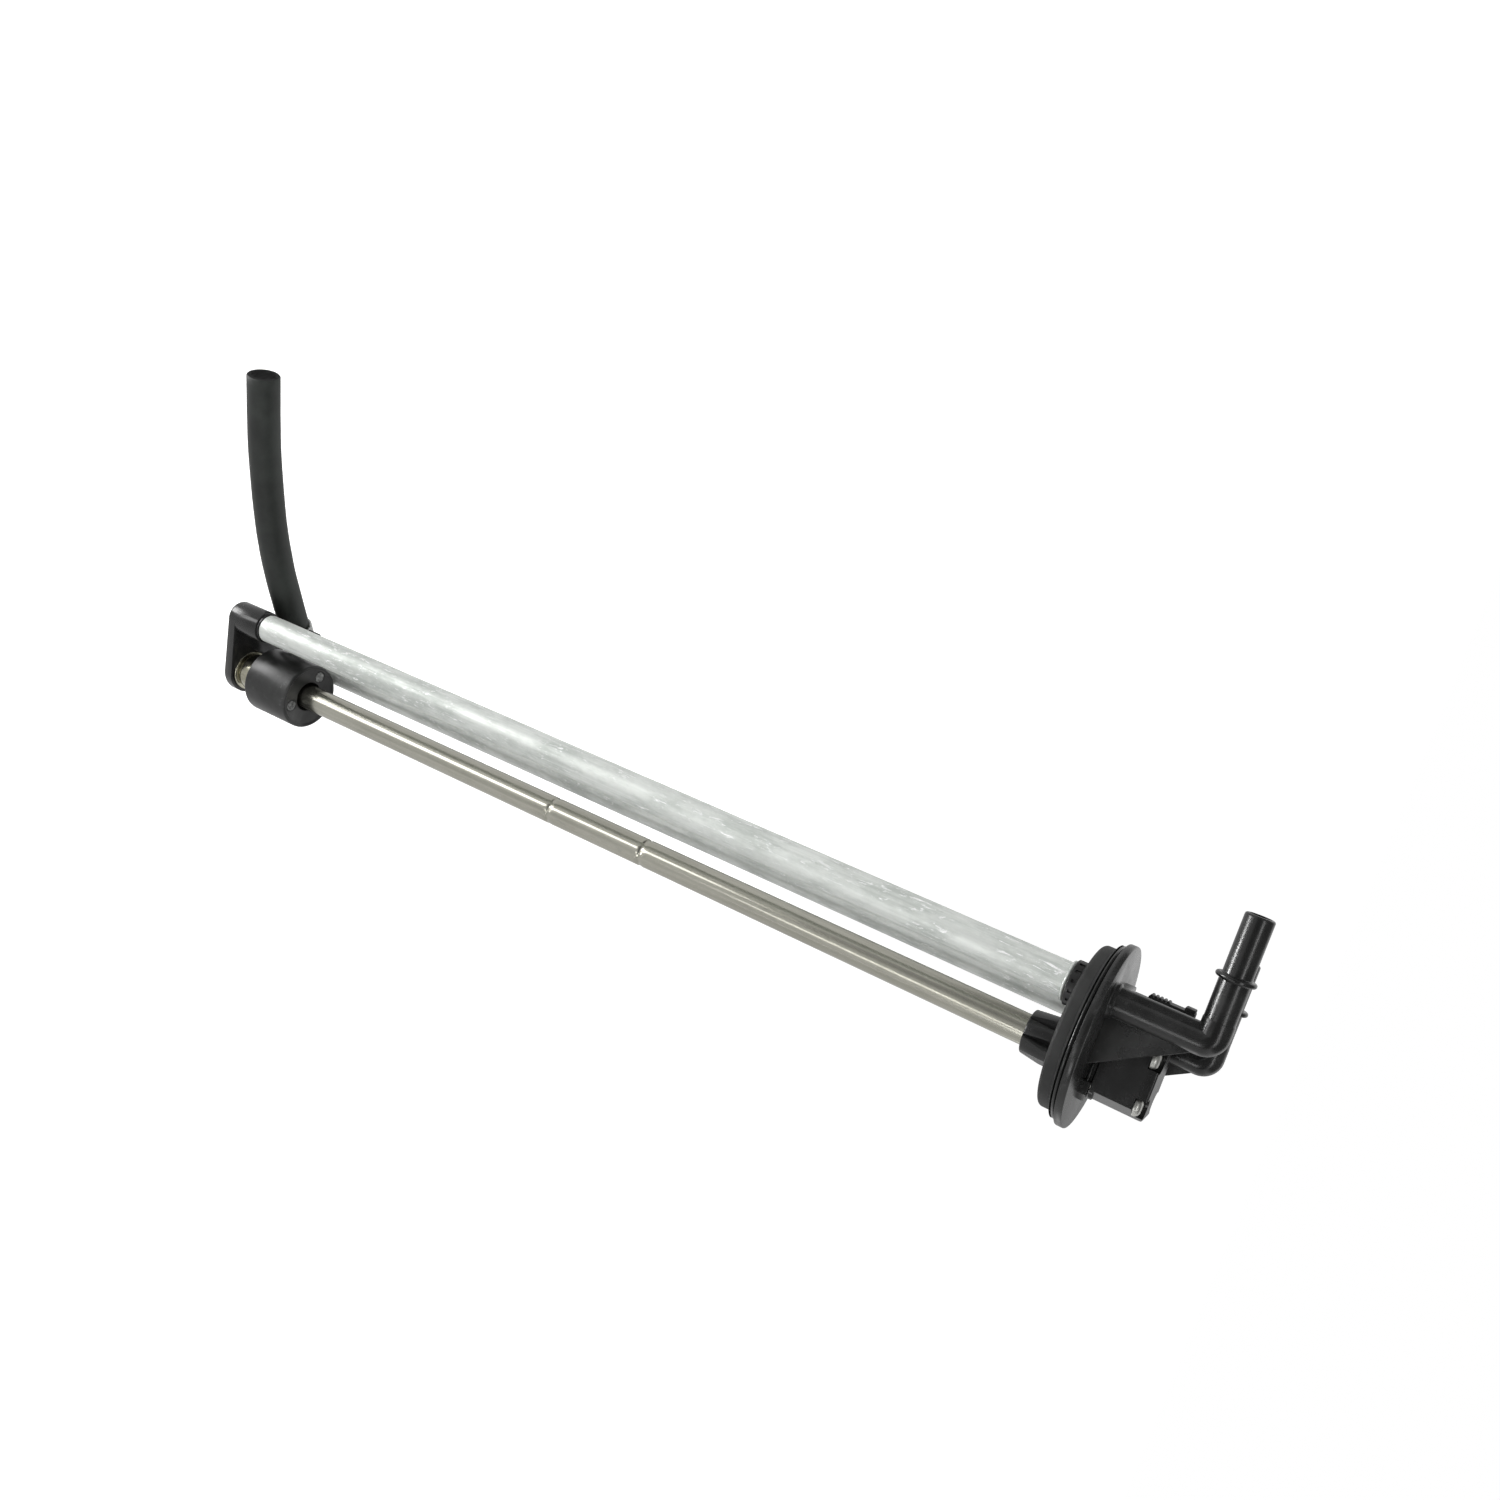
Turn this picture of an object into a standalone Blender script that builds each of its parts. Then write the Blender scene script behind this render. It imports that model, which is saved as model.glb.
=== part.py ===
import math

import bmesh
import bpy
from mathutils import Matrix, Vector

# Fuel level sender of a vehicle tank, as it hangs in the tank opening.
# Lengths are in metres and +Z points up out of the tank. The nipples point along +X.
# The origin is the centre of the underside of the head's round plate.

mm = 0.001
gap = 0.3 * mm
weld = 0.001 * mm
fineSides = 40
tubeSides = 20
smallSides = 12
overrun = 1.0 * mm


# A point at this distance from another, turned from +X
def around(middle, distance, degrees):
    turn = math.radians(degrees)
    return (middle[0] + distance * math.cos(turn), middle[1] + distance * math.sin(turn))


def distanceOf(axis):
    return math.hypot(axis[0], axis[1])


# Head: round plate, plug under it and plinth on top
plateReach = 1.6 * mm
plateThickness = 3.2 * mm
plateEdge = 0.5 * mm
lockSeatWidth = 3.0 * mm
plugWall = 1.52 * mm
plugDepth = 7.9 * mm
plugEdge = 0.8 * mm
plinthHeight = 3.0 * mm
plinthInset = 1.5 * mm
plinthCorner = 3.5 * mm
leastCorner = 0.3 * mm
footMargin = 2.0 * mm
footRise = 0.5 * mm
footReach = 4.4 * mm
footCorner = 1.0 * mm
railRadius = 0.55 * mm
railLength = 7.0 * mm

# Tubes that hang from the head. The rooms are the air between the float and the other two tubes.
guideRadius = 6.0 * mm
guideWall = 0.8 * mm
guideOffset = 9.6 * mm
guideTurn = 192.0
suctionRadius = 6.63 * mm
suctionWall = 1.0 * mm
suctionRoom = 7.14 * mm
suctionTurn = 30.03
suctionEnd = -425.3 * mm
endSealHeight = 0.8 * mm
tubeEndRound = 0.5 * mm
returnRadius = 5.0 * mm
returnWall = 1.0 * mm
returnRoom = 1.59 * mm
returnTurn = -57.59
socketRoof = -0.6 * mm
tubeSealHeight = 1.4 * mm
tubeSealWidth = 2.0 * mm
crimpHeights = (-246.6 * mm, -196.9 * mm)
crimpWidth = 1.4 * mm
crimpDepth = 0.35 * mm

# Collars that hold the tubes against the head
collarTop = -8.4 * mm
collarHeight = 3.4 * mm
collarWall = 1.5 * mm
collarNotches = 14
collarNotchDepth = 0.7 * mm
collarNotchWidth = 1.3 * mm
beadHeight = 1.2 * mm
beadRise = 1.0 * mm

# Fluted collet of the guide tube
colletLow = -22.5 * mm
colletLowWall = 2.5 * mm
colletWall = 3.5 * mm
colletEdge = 0.8 * mm
colletShoulder = -14.5 * mm
colletFlutes = 5
colletFluteRadius = 3.4 * mm
colletFluteDepth = 2.0 * mm
colletFluteTurn = math.radians(41.5)

# Gasket round the plug and the thin seal ring on it
gasketWall = 2.0 * mm
gasketLow = -8.1 * mm
gasketCorner = 1.6 * mm
lipReach = 2.1 * mm
lipLow = -3.3 * mm
lipHigh = -2.2 * mm
neckWall = 2.3 * mm
sealRingThickness = 0.8 * mm
sealRingSides = 6

# Suction pipe on the head: elbow height, nipple along +X with its lengths from the pipe's axis
suctionPipeRadius = 5.6 * mm
suctionNippleHeight = 38.1 * mm
suctionNippleRadius = 5.14 * mm
suctionNippleStart = 8.1 * mm
suctionBeadPlace = 23.3 * mm
suctionNippleEnd = 45.9 * mm
suctionBore = 3.7 * mm

# Return pipe on the head
returnPipeRadius = 5.1 * mm
returnNippleHeight = 37.2 * mm
returnNippleRadius = 4.75 * mm
returnNippleStart = 8.4 * mm
returnBeadPlace = 22.0 * mm
returnNippleEnd = 40.1 * mm
returnBore = 3.2 * mm

# What both pipes share
elbowBend = 3.0 * mm
elbowSteps = 5
pipeFootHeight = 1.8 * mm
pipeFootRise = 0.8 * mm
nippleShoulder = 0.26 * mm
nippleBeadRise = 1.9 * mm
nippleBeadWidth = 1.9 * mm
nippleChamfer = 0.7 * mm
gussetThickness = 1.6 * mm
gussetReach = 18.5 * mm
gussetTop = 33.3 * mm

# Electronics cover on the plinth, between the two pipes
coverLength = 27.6 * mm
coverPipeRoom = 3.6 * mm
coverGussetRoom = 2.0 * mm
coverReturnRoom = 3.0 * mm
coverTop = 26.2 * mm
coverWall = 1.8 * mm
coverCorner = 3.6 * mm
coverEdge = 0.9 * mm
coverGasketHeight = 0.6 * mm
coverGasketInset = 0.9 * mm
screwInsetX = 5.0 * mm
screwInsetY = 2.4 * mm
screwHeadRadius = 3.4 * mm
screwHeadHeight = 2.6 * mm
screwRadius = 1.5 * mm
screwDepth = 7.5 * mm
screwBlock = 4.8 * mm
counterboreDepth = 4.1 * mm
driveRadius = 1.3 * mm
driveDepth = 1.2 * mm

# Circuit board under the cover
boardSideRoom = 0.4 * mm
boardEndRoom = 2.5 * mm
boardThickness = 1.6 * mm
boardLift = 3.0 * mm
boardPostRadius = 1.2 * mm
chipHeight = 1.2 * mm

# Connector with its pins
shellCoverRoom = 1.6 * mm
shellDepth = 9.7 * mm
shellReturnRoom = 1.8 * mm
shellSuctionRoom = 1.2 * mm
shellTop = 28.0 * mm
shellWall = 1.3 * mm
shellFloor = 2.5 * mm
shellCorner = 2.4 * mm
latchReach = 2.3 * mm
latchWidth = 6.0 * mm
latchLow = 12.4 * mm
latchTop = 29.0 * mm
gripCount = 3
gripPitch = 1.9 * mm
gripRadius = 0.7 * mm
latchNubReach = 1.3 * mm
latchNubHeight = 3.9 * mm
latchNubInset = 0.4 * mm
latchNubDrop = 0.2 * mm
pinCount = 3
pinPitch = 2.3 * mm
pinWidth = 0.7 * mm
pinThickness = 0.8 * mm
pinTip = 19.5 * mm
pinRun = 4.2 * mm
pinBoardInset = 0.8 * mm

# Reed strip inside the guide tube
stripWidth = 3.0 * mm
stripThickness = 1.0 * mm
stripHole = 2.0 * mm
reedCount = 18
reedPitch = 21.0 * mm
reedLength = 12.0 * mm
reedRadius = 0.9 * mm
lowestReed = -420.0 * mm
tubePlugHeight = 4.0 * mm
tubePlugEdge = 0.5 * mm

# Float and the magnets in it
floatRadius = 15.8 * mm
floatRoom = 1.1 * mm
floatBoreEdge = 0.4 * mm
floatHeight = 28.15 * mm
floatRest = -430.05 * mm
floatChamfer = 0.9 * mm
floatRim = 1.3 * mm
floatRecess = 0.5 * mm
pocketWall = 0.9 * mm
pocketTurns = (121.1, -16.3)
pocketDepth = 13.0 * mm
magnetHeight = 9.0 * mm
pottingRise = 0.3 * mm

# Stop ring under the float
stopLowReach = 4.0 * mm
stopTopReach = 3.6 * mm
stopWaistReach = 2.0 * mm
stopBodyReach = 3.2 * mm
stopRim = 1.3 * mm

# Bottom bracket: socket under the suction tube, arm, lobe round the guide tube
socketReach = 0.97 * mm
socketLow = -445.8 * mm
socketEdge = 1.2 * mm
spigotLength = 12.0 * mm
spigotBore = 3.8 * mm
spigotEdge = 0.5 * mm
spigotTaper = 1.0 * mm
mouthEdge = 0.4 * mm
inletRise = 0.05 * mm
armSocketTop = -441.2 * mm
armBackReach = 16.5 * mm
armBackTurn = -40.1
armBackRadius = 4.5 * mm
armBackLow = -447.5 * mm
armBackTop = -443.0 * mm
lobeWall = 1.6 * mm
lobeTop = -445.0 * mm
lobeLow = -449.9 * mm
lobeEdge = 0.6 * mm

# Bent end of the return tube, the hose on it and its clamp
bendHeight = -431.0 * mm
bendRadius = 13.0 * mm
hoseHeading = math.radians(39.0)
hoseWall = 2.2 * mm
hoseOverlap = 14.0 * mm
clampPlace = 18.5 * mm
clampWidth = 5.5 * mm
clampThickness = 0.8 * mm
earHeight = 8.0 * mm
earWidth = 4.6 * mm
hosePoints = 8
hosePlaces = (
    (43.0 * mm, 34.9 * mm, 0.7 * mm),
    (63.1 * mm, 49.5 * mm, 2.6 * mm),
    (89.8 * mm, 66.1 * mm, 5.6 * mm),
    (106.6 * mm, 75.5 * mm, 7.8 * mm),
    (125.1 * mm, 85.3 * mm, 10.4 * mm),
)

# Axes of the hanging tubes, and the plug that goes round all three
guideAxis = around((0, 0), guideOffset, guideTurn)
suctionAxis = around(guideAxis, floatRadius + suctionRadius + suctionRoom, suctionTurn)
returnAxis = around(guideAxis, floatRadius + returnRadius + returnRoom, returnTurn)
plugRadius = plugWall + max(distanceOf(suctionAxis) + suctionRadius, distanceOf(returnAxis) + returnRadius,
                            distanceOf(guideAxis) + guideRadius)

# Radii that follow from what they hold
colletLowRadius = guideRadius + colletLowWall
colletRadius = guideRadius + colletWall
floatBore = guideRadius + floatRoom
pocketDistance = (floatBore + floatRadius - floatRim) / 2
pocketRadius = (floatRadius - floatRim - floatBore) / 2 - pocketWall
pocketPlaces = [around((0, 0), pocketDistance, degrees) for degrees in pocketTurns]
stopLowRadius = guideRadius + stopLowReach
stopTopRadius = guideRadius + stopTopReach
stopWaist = guideRadius + stopWaistReach
stopBody = guideRadius + stopBodyReach
lobeRadius = stopLowRadius + lobeWall
socketRadius = suctionRadius + socketReach
armBackAxis = around(guideAxis, armBackReach, armBackTurn)
hoseRadius = returnRadius + hoseWall
hoseRoute = [Vector((returnAxis[0] + x, returnAxis[1] + y, bendHeight + rise)) for x, y, rise in hosePlaces]

# Heights and places that follow from the sizes above
gasketInner = plugRadius + gap
gasketRadius = gasketInner + gasketWall
lipRadius = gasketRadius + lipReach
neckRadius = gasketInner + neckWall
plateRadius = lipRadius + plateReach
coverHigh = (suctionAxis[0] - suctionPipeRadius - coverPipeRoom,
             suctionAxis[1] - gussetThickness / 2 - coverGussetRoom)
coverLow = (coverHigh[0] - coverLength, returnAxis[1] + returnPipeRadius + pipeFootRise + coverReturnRoom)
shellLow = (coverHigh[0] + shellCoverRoom, returnAxis[1] + returnPipeRadius + pipeFootRise + shellReturnRoom)
shellHigh = (shellLow[0] + shellDepth, suctionAxis[1] - suctionPipeRadius - pipeFootRise - shellSuctionRoom)
plinthTop = plateThickness + plinthHeight
coverLowZ = plinthTop + 2 * gap
tubeTop = socketRoof - gap - tubeSealHeight - gap
collarLow = collarTop - collarHeight
shellFoot = plinthTop + gap
boardLowZ = plinthTop + boardLift + gap
boardCentre = ((coverLow[0] + coverHigh[0]) / 2, (coverLow[1] + coverHigh[1]) / 2)
boardSize = (coverLength - 2 * (screwInsetX + screwBlock + boardSideRoom),
             coverHigh[1] - coverLow[1] - 2 * boardEndRoom)
pinBoardX = boardCentre[0] + boardSize[0] / 2 - pinBoardInset
pinPlugX = (shellLow[0] + shellHigh[0]) / 2
pinMiddleY = (shellLow[1] + shellHigh[1]) / 2
counterboreFloor = coverTop - counterboreDepth
stopTop = floatRest - gap
stopLow = lobeTop + gap
bracketMouth = suctionEnd - gap - endSealHeight - gap
spigotTop = suctionEnd + spigotLength
tubePlugLow = lobeLow + gap


def emptyScene():
    for item in list(bpy.data.objects):
        bpy.data.objects.remove(item)


def toObject(name, bm, place=(0, 0, 0)):
    bmesh.ops.remove_doubles(bm, verts=bm.verts, dist=weld)
    bmesh.ops.recalc_face_normals(bm, faces=bm.faces)
    mesh = bpy.data.meshes.new(name)
    bm.to_mesh(mesh)
    bm.free()
    mesh.shade_smooth()
    mesh.set_sharp_from_angle(angle=math.radians(35))
    item = bpy.data.objects.new(name, mesh)
    item.location = place
    bpy.context.scene.collection.objects.link(item)
    return item


def paint(item, color, roughness, metallic=0.0):
    surface = bpy.data.materials.new(item.name + "_surface")
    surface.use_nodes = True
    shader = surface.node_tree.nodes["Principled BSDF"]
    shader.inputs["Base Color"].default_value = (*color, 1.0)
    shader.inputs["Roughness"].default_value = roughness
    shader.inputs["Metallic"].default_value = metallic
    item.data.materials.append(surface)
    return item


# A profile of (radius, height) points turned round Z. It is closed, or starts and ends on the axis.
def turned(name, profile, sides, place=(0, 0, 0), closed=True):
    bm = bmesh.new()
    verts = [bm.verts.new((radius, 0, height)) for radius, height in profile]
    edges = [bm.edges.new(pair) for pair in zip(verts, verts[1:])]
    if closed:
        edges.append(bm.edges.new((verts[-1], verts[0])))
    bmesh.ops.spin(bm, geom=verts + edges, cent=(0, 0, 0), axis=(0, 0, 1),
                   angle=math.tau, steps=sides, use_merge=True)
    return toObject(name, bm, place)


def ring(name, inner, outer, low, high, sides, place=(0, 0, 0)):
    profile = ((inner, low), (outer, low), (outer, high), (inner, high))
    return turned(name, profile, sides, place)


# Upright rods of one size, one at each place
def rods(name, places, radius, low, high, sides=smallSides):
    bm = bmesh.new()
    for x, y in places:
        bmesh.ops.create_cone(bm, cap_ends=True, segments=sides, radius1=radius, radius2=radius,
                              depth=high - low, matrix=Matrix.Translation((x, y, (low + high) / 2)))
    return toObject(name, bm)


def block(name, low, high):
    low = Vector(low)
    high = Vector(high)
    size = high - low
    bm = bmesh.new()
    place = Matrix.Translation((low + high) / 2) @ Matrix.Diagonal((*size, 1.0))
    bmesh.ops.create_cube(bm, size=1.0, matrix=place)
    return toObject(name, bm)


def extrudedInto(bm, points, travel):
    face = bm.faces.new([bm.verts.new(point) for point in points])
    grown = bmesh.ops.extrude_face_region(bm, geom=[face])["geom"]
    moved = [part for part in grown if isinstance(part, bmesh.types.BMVert)]
    bmesh.ops.translate(bm, verts=moved, vec=travel)


def prism(name, outline, low, high):
    bm = bmesh.new()
    extrudedInto(bm, [(x, y, low) for x, y in outline], (0, 0, high - low))
    return toObject(name, bm)


# An outline in the XZ plane extruded along Y, once for each middle
def sideways(name, outline, middles, width):
    bm = bmesh.new()
    for middle in middles:
        extrudedInto(bm, [(x, middle - width / 2, z) for x, z in outline], (0, width, 0))
    return toObject(name, bm)


def rounded(low, high, corner, inset=0.0, steps=5):
    corner = max(corner - inset, leastCorner)
    left = low[0] + inset + corner
    right = high[0] - inset - corner
    near = low[1] + inset + corner
    far = high[1] - inset - corner
    outline = []
    for x, y, start in ((right, far, 0), (left, far, 90), (left, near, 180), (right, near, 270)):
        for step in range(steps + 1):
            angle = math.radians(start + 90 * step / steps)
            outline.append((x + corner * math.cos(angle), y + corner * math.sin(angle)))
    return outline


# A round rod that runs along Z from start, turns at the corner height and runs on along +X
def bentRod(name, radius, start, corner, bend, reach, place, sides=tubeSides, steps=6):
    rising = 1 if corner > start else -1
    bm = bmesh.new()
    bmesh.ops.create_circle(bm, segments=sides, radius=radius, matrix=Matrix.Translation((0, 0, start)))
    edges = drawn(bm, bm.edges[:], (0, 0, corner - rising * bend - start))
    verts = list({vert for edge in edges for vert in edge.verts})
    last = bmesh.ops.spin(bm, geom=verts + edges, cent=(bend, 0, corner - rising * bend), axis=(0, 1, 0),
                          angle=rising * math.pi / 2, steps=steps)["geom_last"]
    edges = [part for part in last if isinstance(part, bmesh.types.BMEdge)]
    drawn(bm, edges, (reach - bend, 0, 0))
    bmesh.ops.holes_fill(bm, edges=[edge for edge in bm.edges if edge.is_boundary], sides=0)
    return toObject(name, bm, place)


def drawn(bm, edges, travel):
    grown = bmesh.ops.extrude_edge_only(bm, edges=edges)["geom"]
    moved = {part for part in grown if isinstance(part, bmesh.types.BMVert)}
    bmesh.ops.translate(bm, verts=list(moved), vec=travel)
    return [part for part in grown if isinstance(part, bmesh.types.BMEdge) and set(part.verts) <= moved]


def combine(item, other, operation):
    other.hide_render = True
    other.display_type = "WIRE"
    modifier = item.modifiers.new(other.name, "BOOLEAN")
    modifier.operation = operation
    modifier.solver = "EXACT"
    modifier.object = other


def join(item, *others):
    for other in others:
        combine(item, other, "UNION")


def cut(item, *others):
    for other in others:
        combine(item, other, "DIFFERENCE")


def at(axis, height=0.0):
    return (axis[0], axis[1], height)


# A pipe that stands on the plate and turns to +X. The outside of its elbow is the hull of its sections.
def elbowPipe(name, radius, start, corner, reach, place):
    rise = corner - elbowBend
    bm = bmesh.new()
    for step in range(elbowSteps + 1):
        angle = math.pi / 2 * step / elbowSteps
        turn = Matrix.Translation((elbowBend, 0, rise)) @ Matrix.Rotation(angle, 4, "Y")
        bmesh.ops.create_circle(bm, segments=tubeSides, radius=radius,
                                matrix=turn @ Matrix.Translation((-elbowBend, 0, 0)))
    hullOf(bm)
    item = toObject(name, bm, place)
    upright = rods(name + "_riser", ((0, 0),), radius, start, rise + gap, tubeSides)
    upright.location = place
    across = rods(name + "_run", ((0, 0),), radius, elbowBend - gap, reach, tubeSides)
    across.rotation_euler.y = math.pi / 2
    across.location = Vector(place) + Vector((0, 0, corner))
    join(item, upright, across)
    return item


def hullOf(bm):
    bmesh.ops.convex_hull(bm, input=bm.verts)
    loose = [vert for vert in bm.verts if not vert.link_faces]
    bmesh.ops.delete(bm, geom=loose, context="VERTS")


# The nipple's outside, turned round its own axis and laid along +X
def nipple(name, radius, start, bead, end, axis, height):
    root = radius + nippleShoulder
    rise = radius + nippleBeadRise
    half = nippleBeadWidth / 2
    profile = (
        (0, start - overrun),
        (root, start - overrun),
        (root, bead - half),
        (rise - half / 2, bead - half),
        (rise, bead - half / 2),
        (rise, bead + half / 2),
        (rise - half / 2, bead + half),
        (radius, bead + half),
        (radius, end - nippleChamfer),
        (radius - nippleChamfer, end),
        (0, end),
    )
    item = turned(name, profile, tubeSides, at(axis, height), closed=False)
    item.rotation_euler.y = math.pi / 2
    return item


def gusset(name, axis, radius):
    side = axis[0] - radius
    outline = (
        (side + overrun, plateThickness - overrun),
        (side - gussetReach, plateThickness - overrun),
        (side - gussetReach, plateThickness),
        (side, gussetTop),
        (side + overrun, gussetTop),
    )
    return sideways(name, outline, (axis[1],), gussetThickness)


def screwPlaces():
    left = coverLow[0] + screwInsetX
    right = coverHigh[0] - screwInsetX
    near = coverLow[1] + screwInsetY
    far = coverHigh[1] - screwInsetY
    return ((left, near), (right, near), (left, far), (right, far))


# The plinth has a foot round each screw, and the left ones stand out past the cover
def footOutlines():
    outlines = []
    for x, y in screwPlaces():
        left = coverLow[0] - footMargin if x < boardCentre[0] else x - footReach
        right = x + footReach - 3 * footCorner if x < boardCentre[0] else coverHigh[0] + footRise
        near = coverLow[1] - footRise if y < boardCentre[1] else y - footReach
        far = y + footReach if y < boardCentre[1] else coverHigh[1] + footRise
        outlines.append(rounded((left, near), (right, far), footCorner, steps=3))
    return outlines


# A short rounded rail along the plinth, beside the gusset's end
def plinthRail():
    middle = suctionAxis[0] - suctionPipeRadius - gussetReach - 0.5 * railLength
    side = coverHigh[1] - plinthInset
    item = rods("plinth_rail", ((0, 0),), railRadius, -railLength / 2, railLength / 2, 10)
    item.rotation_euler.y = math.pi / 2
    item.location = (middle, side + 0.4 * railRadius, plateThickness + plinthHeight / 2)
    return item


def pinMiddles():
    return [pinMiddleY + (index - (pinCount - 1) / 2) * pinPitch for index in range(pinCount)]


# The U that each pin follows from the board down, across and up into the connector
def pinOutline(room, boardTop, plugTop):
    half = pinThickness / 2 + room
    low = pinRun - half
    high = pinRun + half
    return (
        (pinBoardX - half, low),
        (pinPlugX + half, low),
        (pinPlugX + half, plugTop),
        (pinPlugX - half, plugTop),
        (pinPlugX - half, high),
        (pinBoardX + half, high),
        (pinBoardX + half, boardTop),
        (pinBoardX - half, boardTop),
    )


def boardPosts():
    reach = boardSize[1] / 2 - 2 * boardPostRadius
    return ((boardCentre[0], boardCentre[1] - reach), (boardCentre[0], boardCentre[1] + reach))


def headFlange():
    profile = (
        (0, -plugDepth),
        (plugRadius - plugEdge, -plugDepth),
        (plugRadius, -plugDepth + plugEdge),
        (plugRadius, 0),
        (plateRadius - plateEdge, 0),
        (plateRadius, plateEdge),
        (plateRadius, plateThickness - plateEdge),
        (plateRadius - plateEdge, plateThickness),
        (plateRadius - plateEdge - lockSeatWidth, plateThickness),
        (0, plateThickness),
    )
    item = turned("head_flange", profile, fineSides, closed=False)
    low = (coverLow[0], min(coverLow[1], shellLow[1] - plinthInset))
    high = (shellHigh[0] + 2 * plinthInset, coverHigh[1])
    foot = plateThickness - overrun
    join(item, prism("plinth", rounded(low, high, plinthCorner, plinthInset), foot, plinthTop))
    for index, outline in enumerate(footOutlines()):
        join(item, prism(f"foot_{index + 1}", outline, foot, plinthTop - gap * (index + 1) / 40))
    join(item, plinthRail())
    join(item, rods("board_posts", boardPosts(), boardPostRadius, plinthTop - overrun, plinthTop + boardLift))
    suctionAt = at(suctionAxis)
    returnAt = at(returnAxis)
    for name, radius, height, start, place in (
            ("suction_pipe", suctionPipeRadius, suctionNippleHeight, suctionNippleStart, suctionAt),
            ("return_pipe", returnPipeRadius, returnNippleHeight, returnNippleStart, returnAt)):
        join(item, elbowPipe(name, radius, foot, height, start, place))
        join(item, rods(name + "_foot", (place[:2],), radius + pipeFootRise, foot,
                        plateThickness + pipeFootHeight, tubeSides))
    join(item, gusset("suction_gusset", suctionAxis, suctionPipeRadius))
    join(item, gusset("return_gusset", returnAxis, returnPipeRadius))
    join(item, nipple("suction_nipple", suctionNippleRadius, suctionNippleStart, suctionBeadPlace,
                      suctionNippleEnd, suctionAxis, suctionNippleHeight))
    join(item, nipple("return_nipple", returnNippleRadius, returnNippleStart, returnBeadPlace,
                      returnNippleEnd, returnAxis, returnNippleHeight))
    for name, axis, radius in (("guide", guideAxis, guideRadius), ("suction", suctionAxis, suctionRadius),
                               ("return", returnAxis, returnRadius)):
        cut(item, rods(name + "_socket", (axis,), radius + gap, -plugDepth - overrun, socketRoof, tubeSides))
    cut(item, bentRod("suction_way", suctionBore, socketRoof - overrun, suctionNippleHeight, suctionBore + gap,
                      suctionNippleEnd + overrun, suctionAt, smallSides))
    cut(item, bentRod("return_way", returnBore, socketRoof - overrun, returnNippleHeight, returnBore + gap,
                      returnNippleEnd + overrun, returnAt, smallSides))
    cut(item, rods("strip_way", (guideAxis,), stripHole, socketRoof - overrun, plinthTop + overrun))
    cut(item, rods("screw_ways", screwPlaces(), screwRadius + gap, plinthTop - screwDepth - gap,
                   plinthTop + overrun))
    cut(item, sideways("pin_ways", pinOutline(gap, plinthTop + overrun, plinthTop + overrun),
                       pinMiddles(), pinWidth + 2 * gap))
    return paint(item, (0.022, 0.022, 0.023), 0.42)


def flangeGasket():
    inner = gasketInner
    profile = (
        (inner, gasketLow),
        (gasketRadius - gasketCorner, gasketLow),
        (gasketRadius - 0.3 * gasketCorner, gasketLow + 0.3 * gasketCorner),
        (gasketRadius, gasketLow + gasketCorner),
        (gasketRadius, lipLow),
        (lipRadius, lipHigh),
        (neckRadius, lipHigh),
        (neckRadius, -gap),
        (inner, -gap),
    )
    return paint(turned("flange_gasket", profile, fineSides), (0.020, 0.021, 0.020), 0.55)


def sealRing():
    middle = neckRadius + gap + sealRingThickness
    height = lipHigh / 2
    half = min(sealRingThickness, -lipHigh / 2 - gap)
    turns = [math.tau * step / sealRingSides for step in range(sealRingSides)]
    profile = [(middle + half * math.cos(turn), height + half * math.sin(turn)) for turn in turns]
    return paint(turned("seal_ring", profile, fineSides), (0.012, 0.012, 0.012), 0.22)


# The room inside the cover: a plus, because the corners stay solid for the screws
def coverRoom():
    left = coverLow[0] + coverWall
    right = coverHigh[0] - coverWall
    near = coverLow[1] + coverWall
    far = coverHigh[1] - coverWall
    leftPost = coverLow[0] + screwInsetX + screwBlock
    rightPost = coverHigh[0] - screwInsetX - screwBlock
    nearPost = coverLow[1] + screwInsetY + screwBlock
    farPost = coverHigh[1] - screwInsetY - screwBlock
    return (
        (leftPost, near), (rightPost, near), (rightPost, nearPost), (right, nearPost),
        (right, farPost), (rightPost, farPost), (rightPost, far), (leftPost, far),
        (leftPost, farPost), (left, farPost), (left, nearPost), (leftPost, nearPost),
    )


def sensorCover():
    bm = bmesh.new()
    outline = rounded(coverLow, coverHigh, coverCorner)
    extrudedInto(bm, [(x, y, coverLowZ) for x, y in outline], (0, 0, coverTop - coverLowZ))
    top = [edge for edge in bm.edges if all(vert.co.z > coverTop - weld for vert in edge.verts)]
    bmesh.ops.bevel(bm, geom=top, offset=coverEdge, segments=2, profile=0.5, affect="EDGES")
    item = toObject("sensor_cover", bm)
    seat = plinthTop + coverGasketHeight + 2 * gap
    cut(item, prism("gasket_seat", rounded(coverLow, coverHigh, coverCorner, coverGasketInset - gap),
                    coverLowZ - overrun, seat))
    cut(item, prism("cover_room", coverRoom(), coverLowZ - overrun, coverTop - coverWall))
    cut(item, rods("counterbores", screwPlaces(), screwHeadRadius + 2 * gap, counterboreFloor,
                   coverTop + overrun, 28))
    cut(item, rods("cover_screw_ways", screwPlaces(), screwRadius + gap, coverLowZ - overrun,
                   counterboreFloor + overrun))
    return paint(item, (0.020, 0.020, 0.021), 0.48)


def coverGasket():
    low = plinthTop + gap
    high = low + coverGasketHeight
    item = prism("cover_gasket", rounded(coverLow, coverHigh, coverCorner, coverGasketInset), low, high)
    cut(item, prism("gasket_window", coverRoom(), low - overrun, high + overrun))
    cut(item, rods("gasket_screw_ways", screwPlaces(), screwRadius + gap, low - overrun, high + overrun))
    return paint(item, (0.010, 0.010, 0.010), 0.7)


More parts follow.
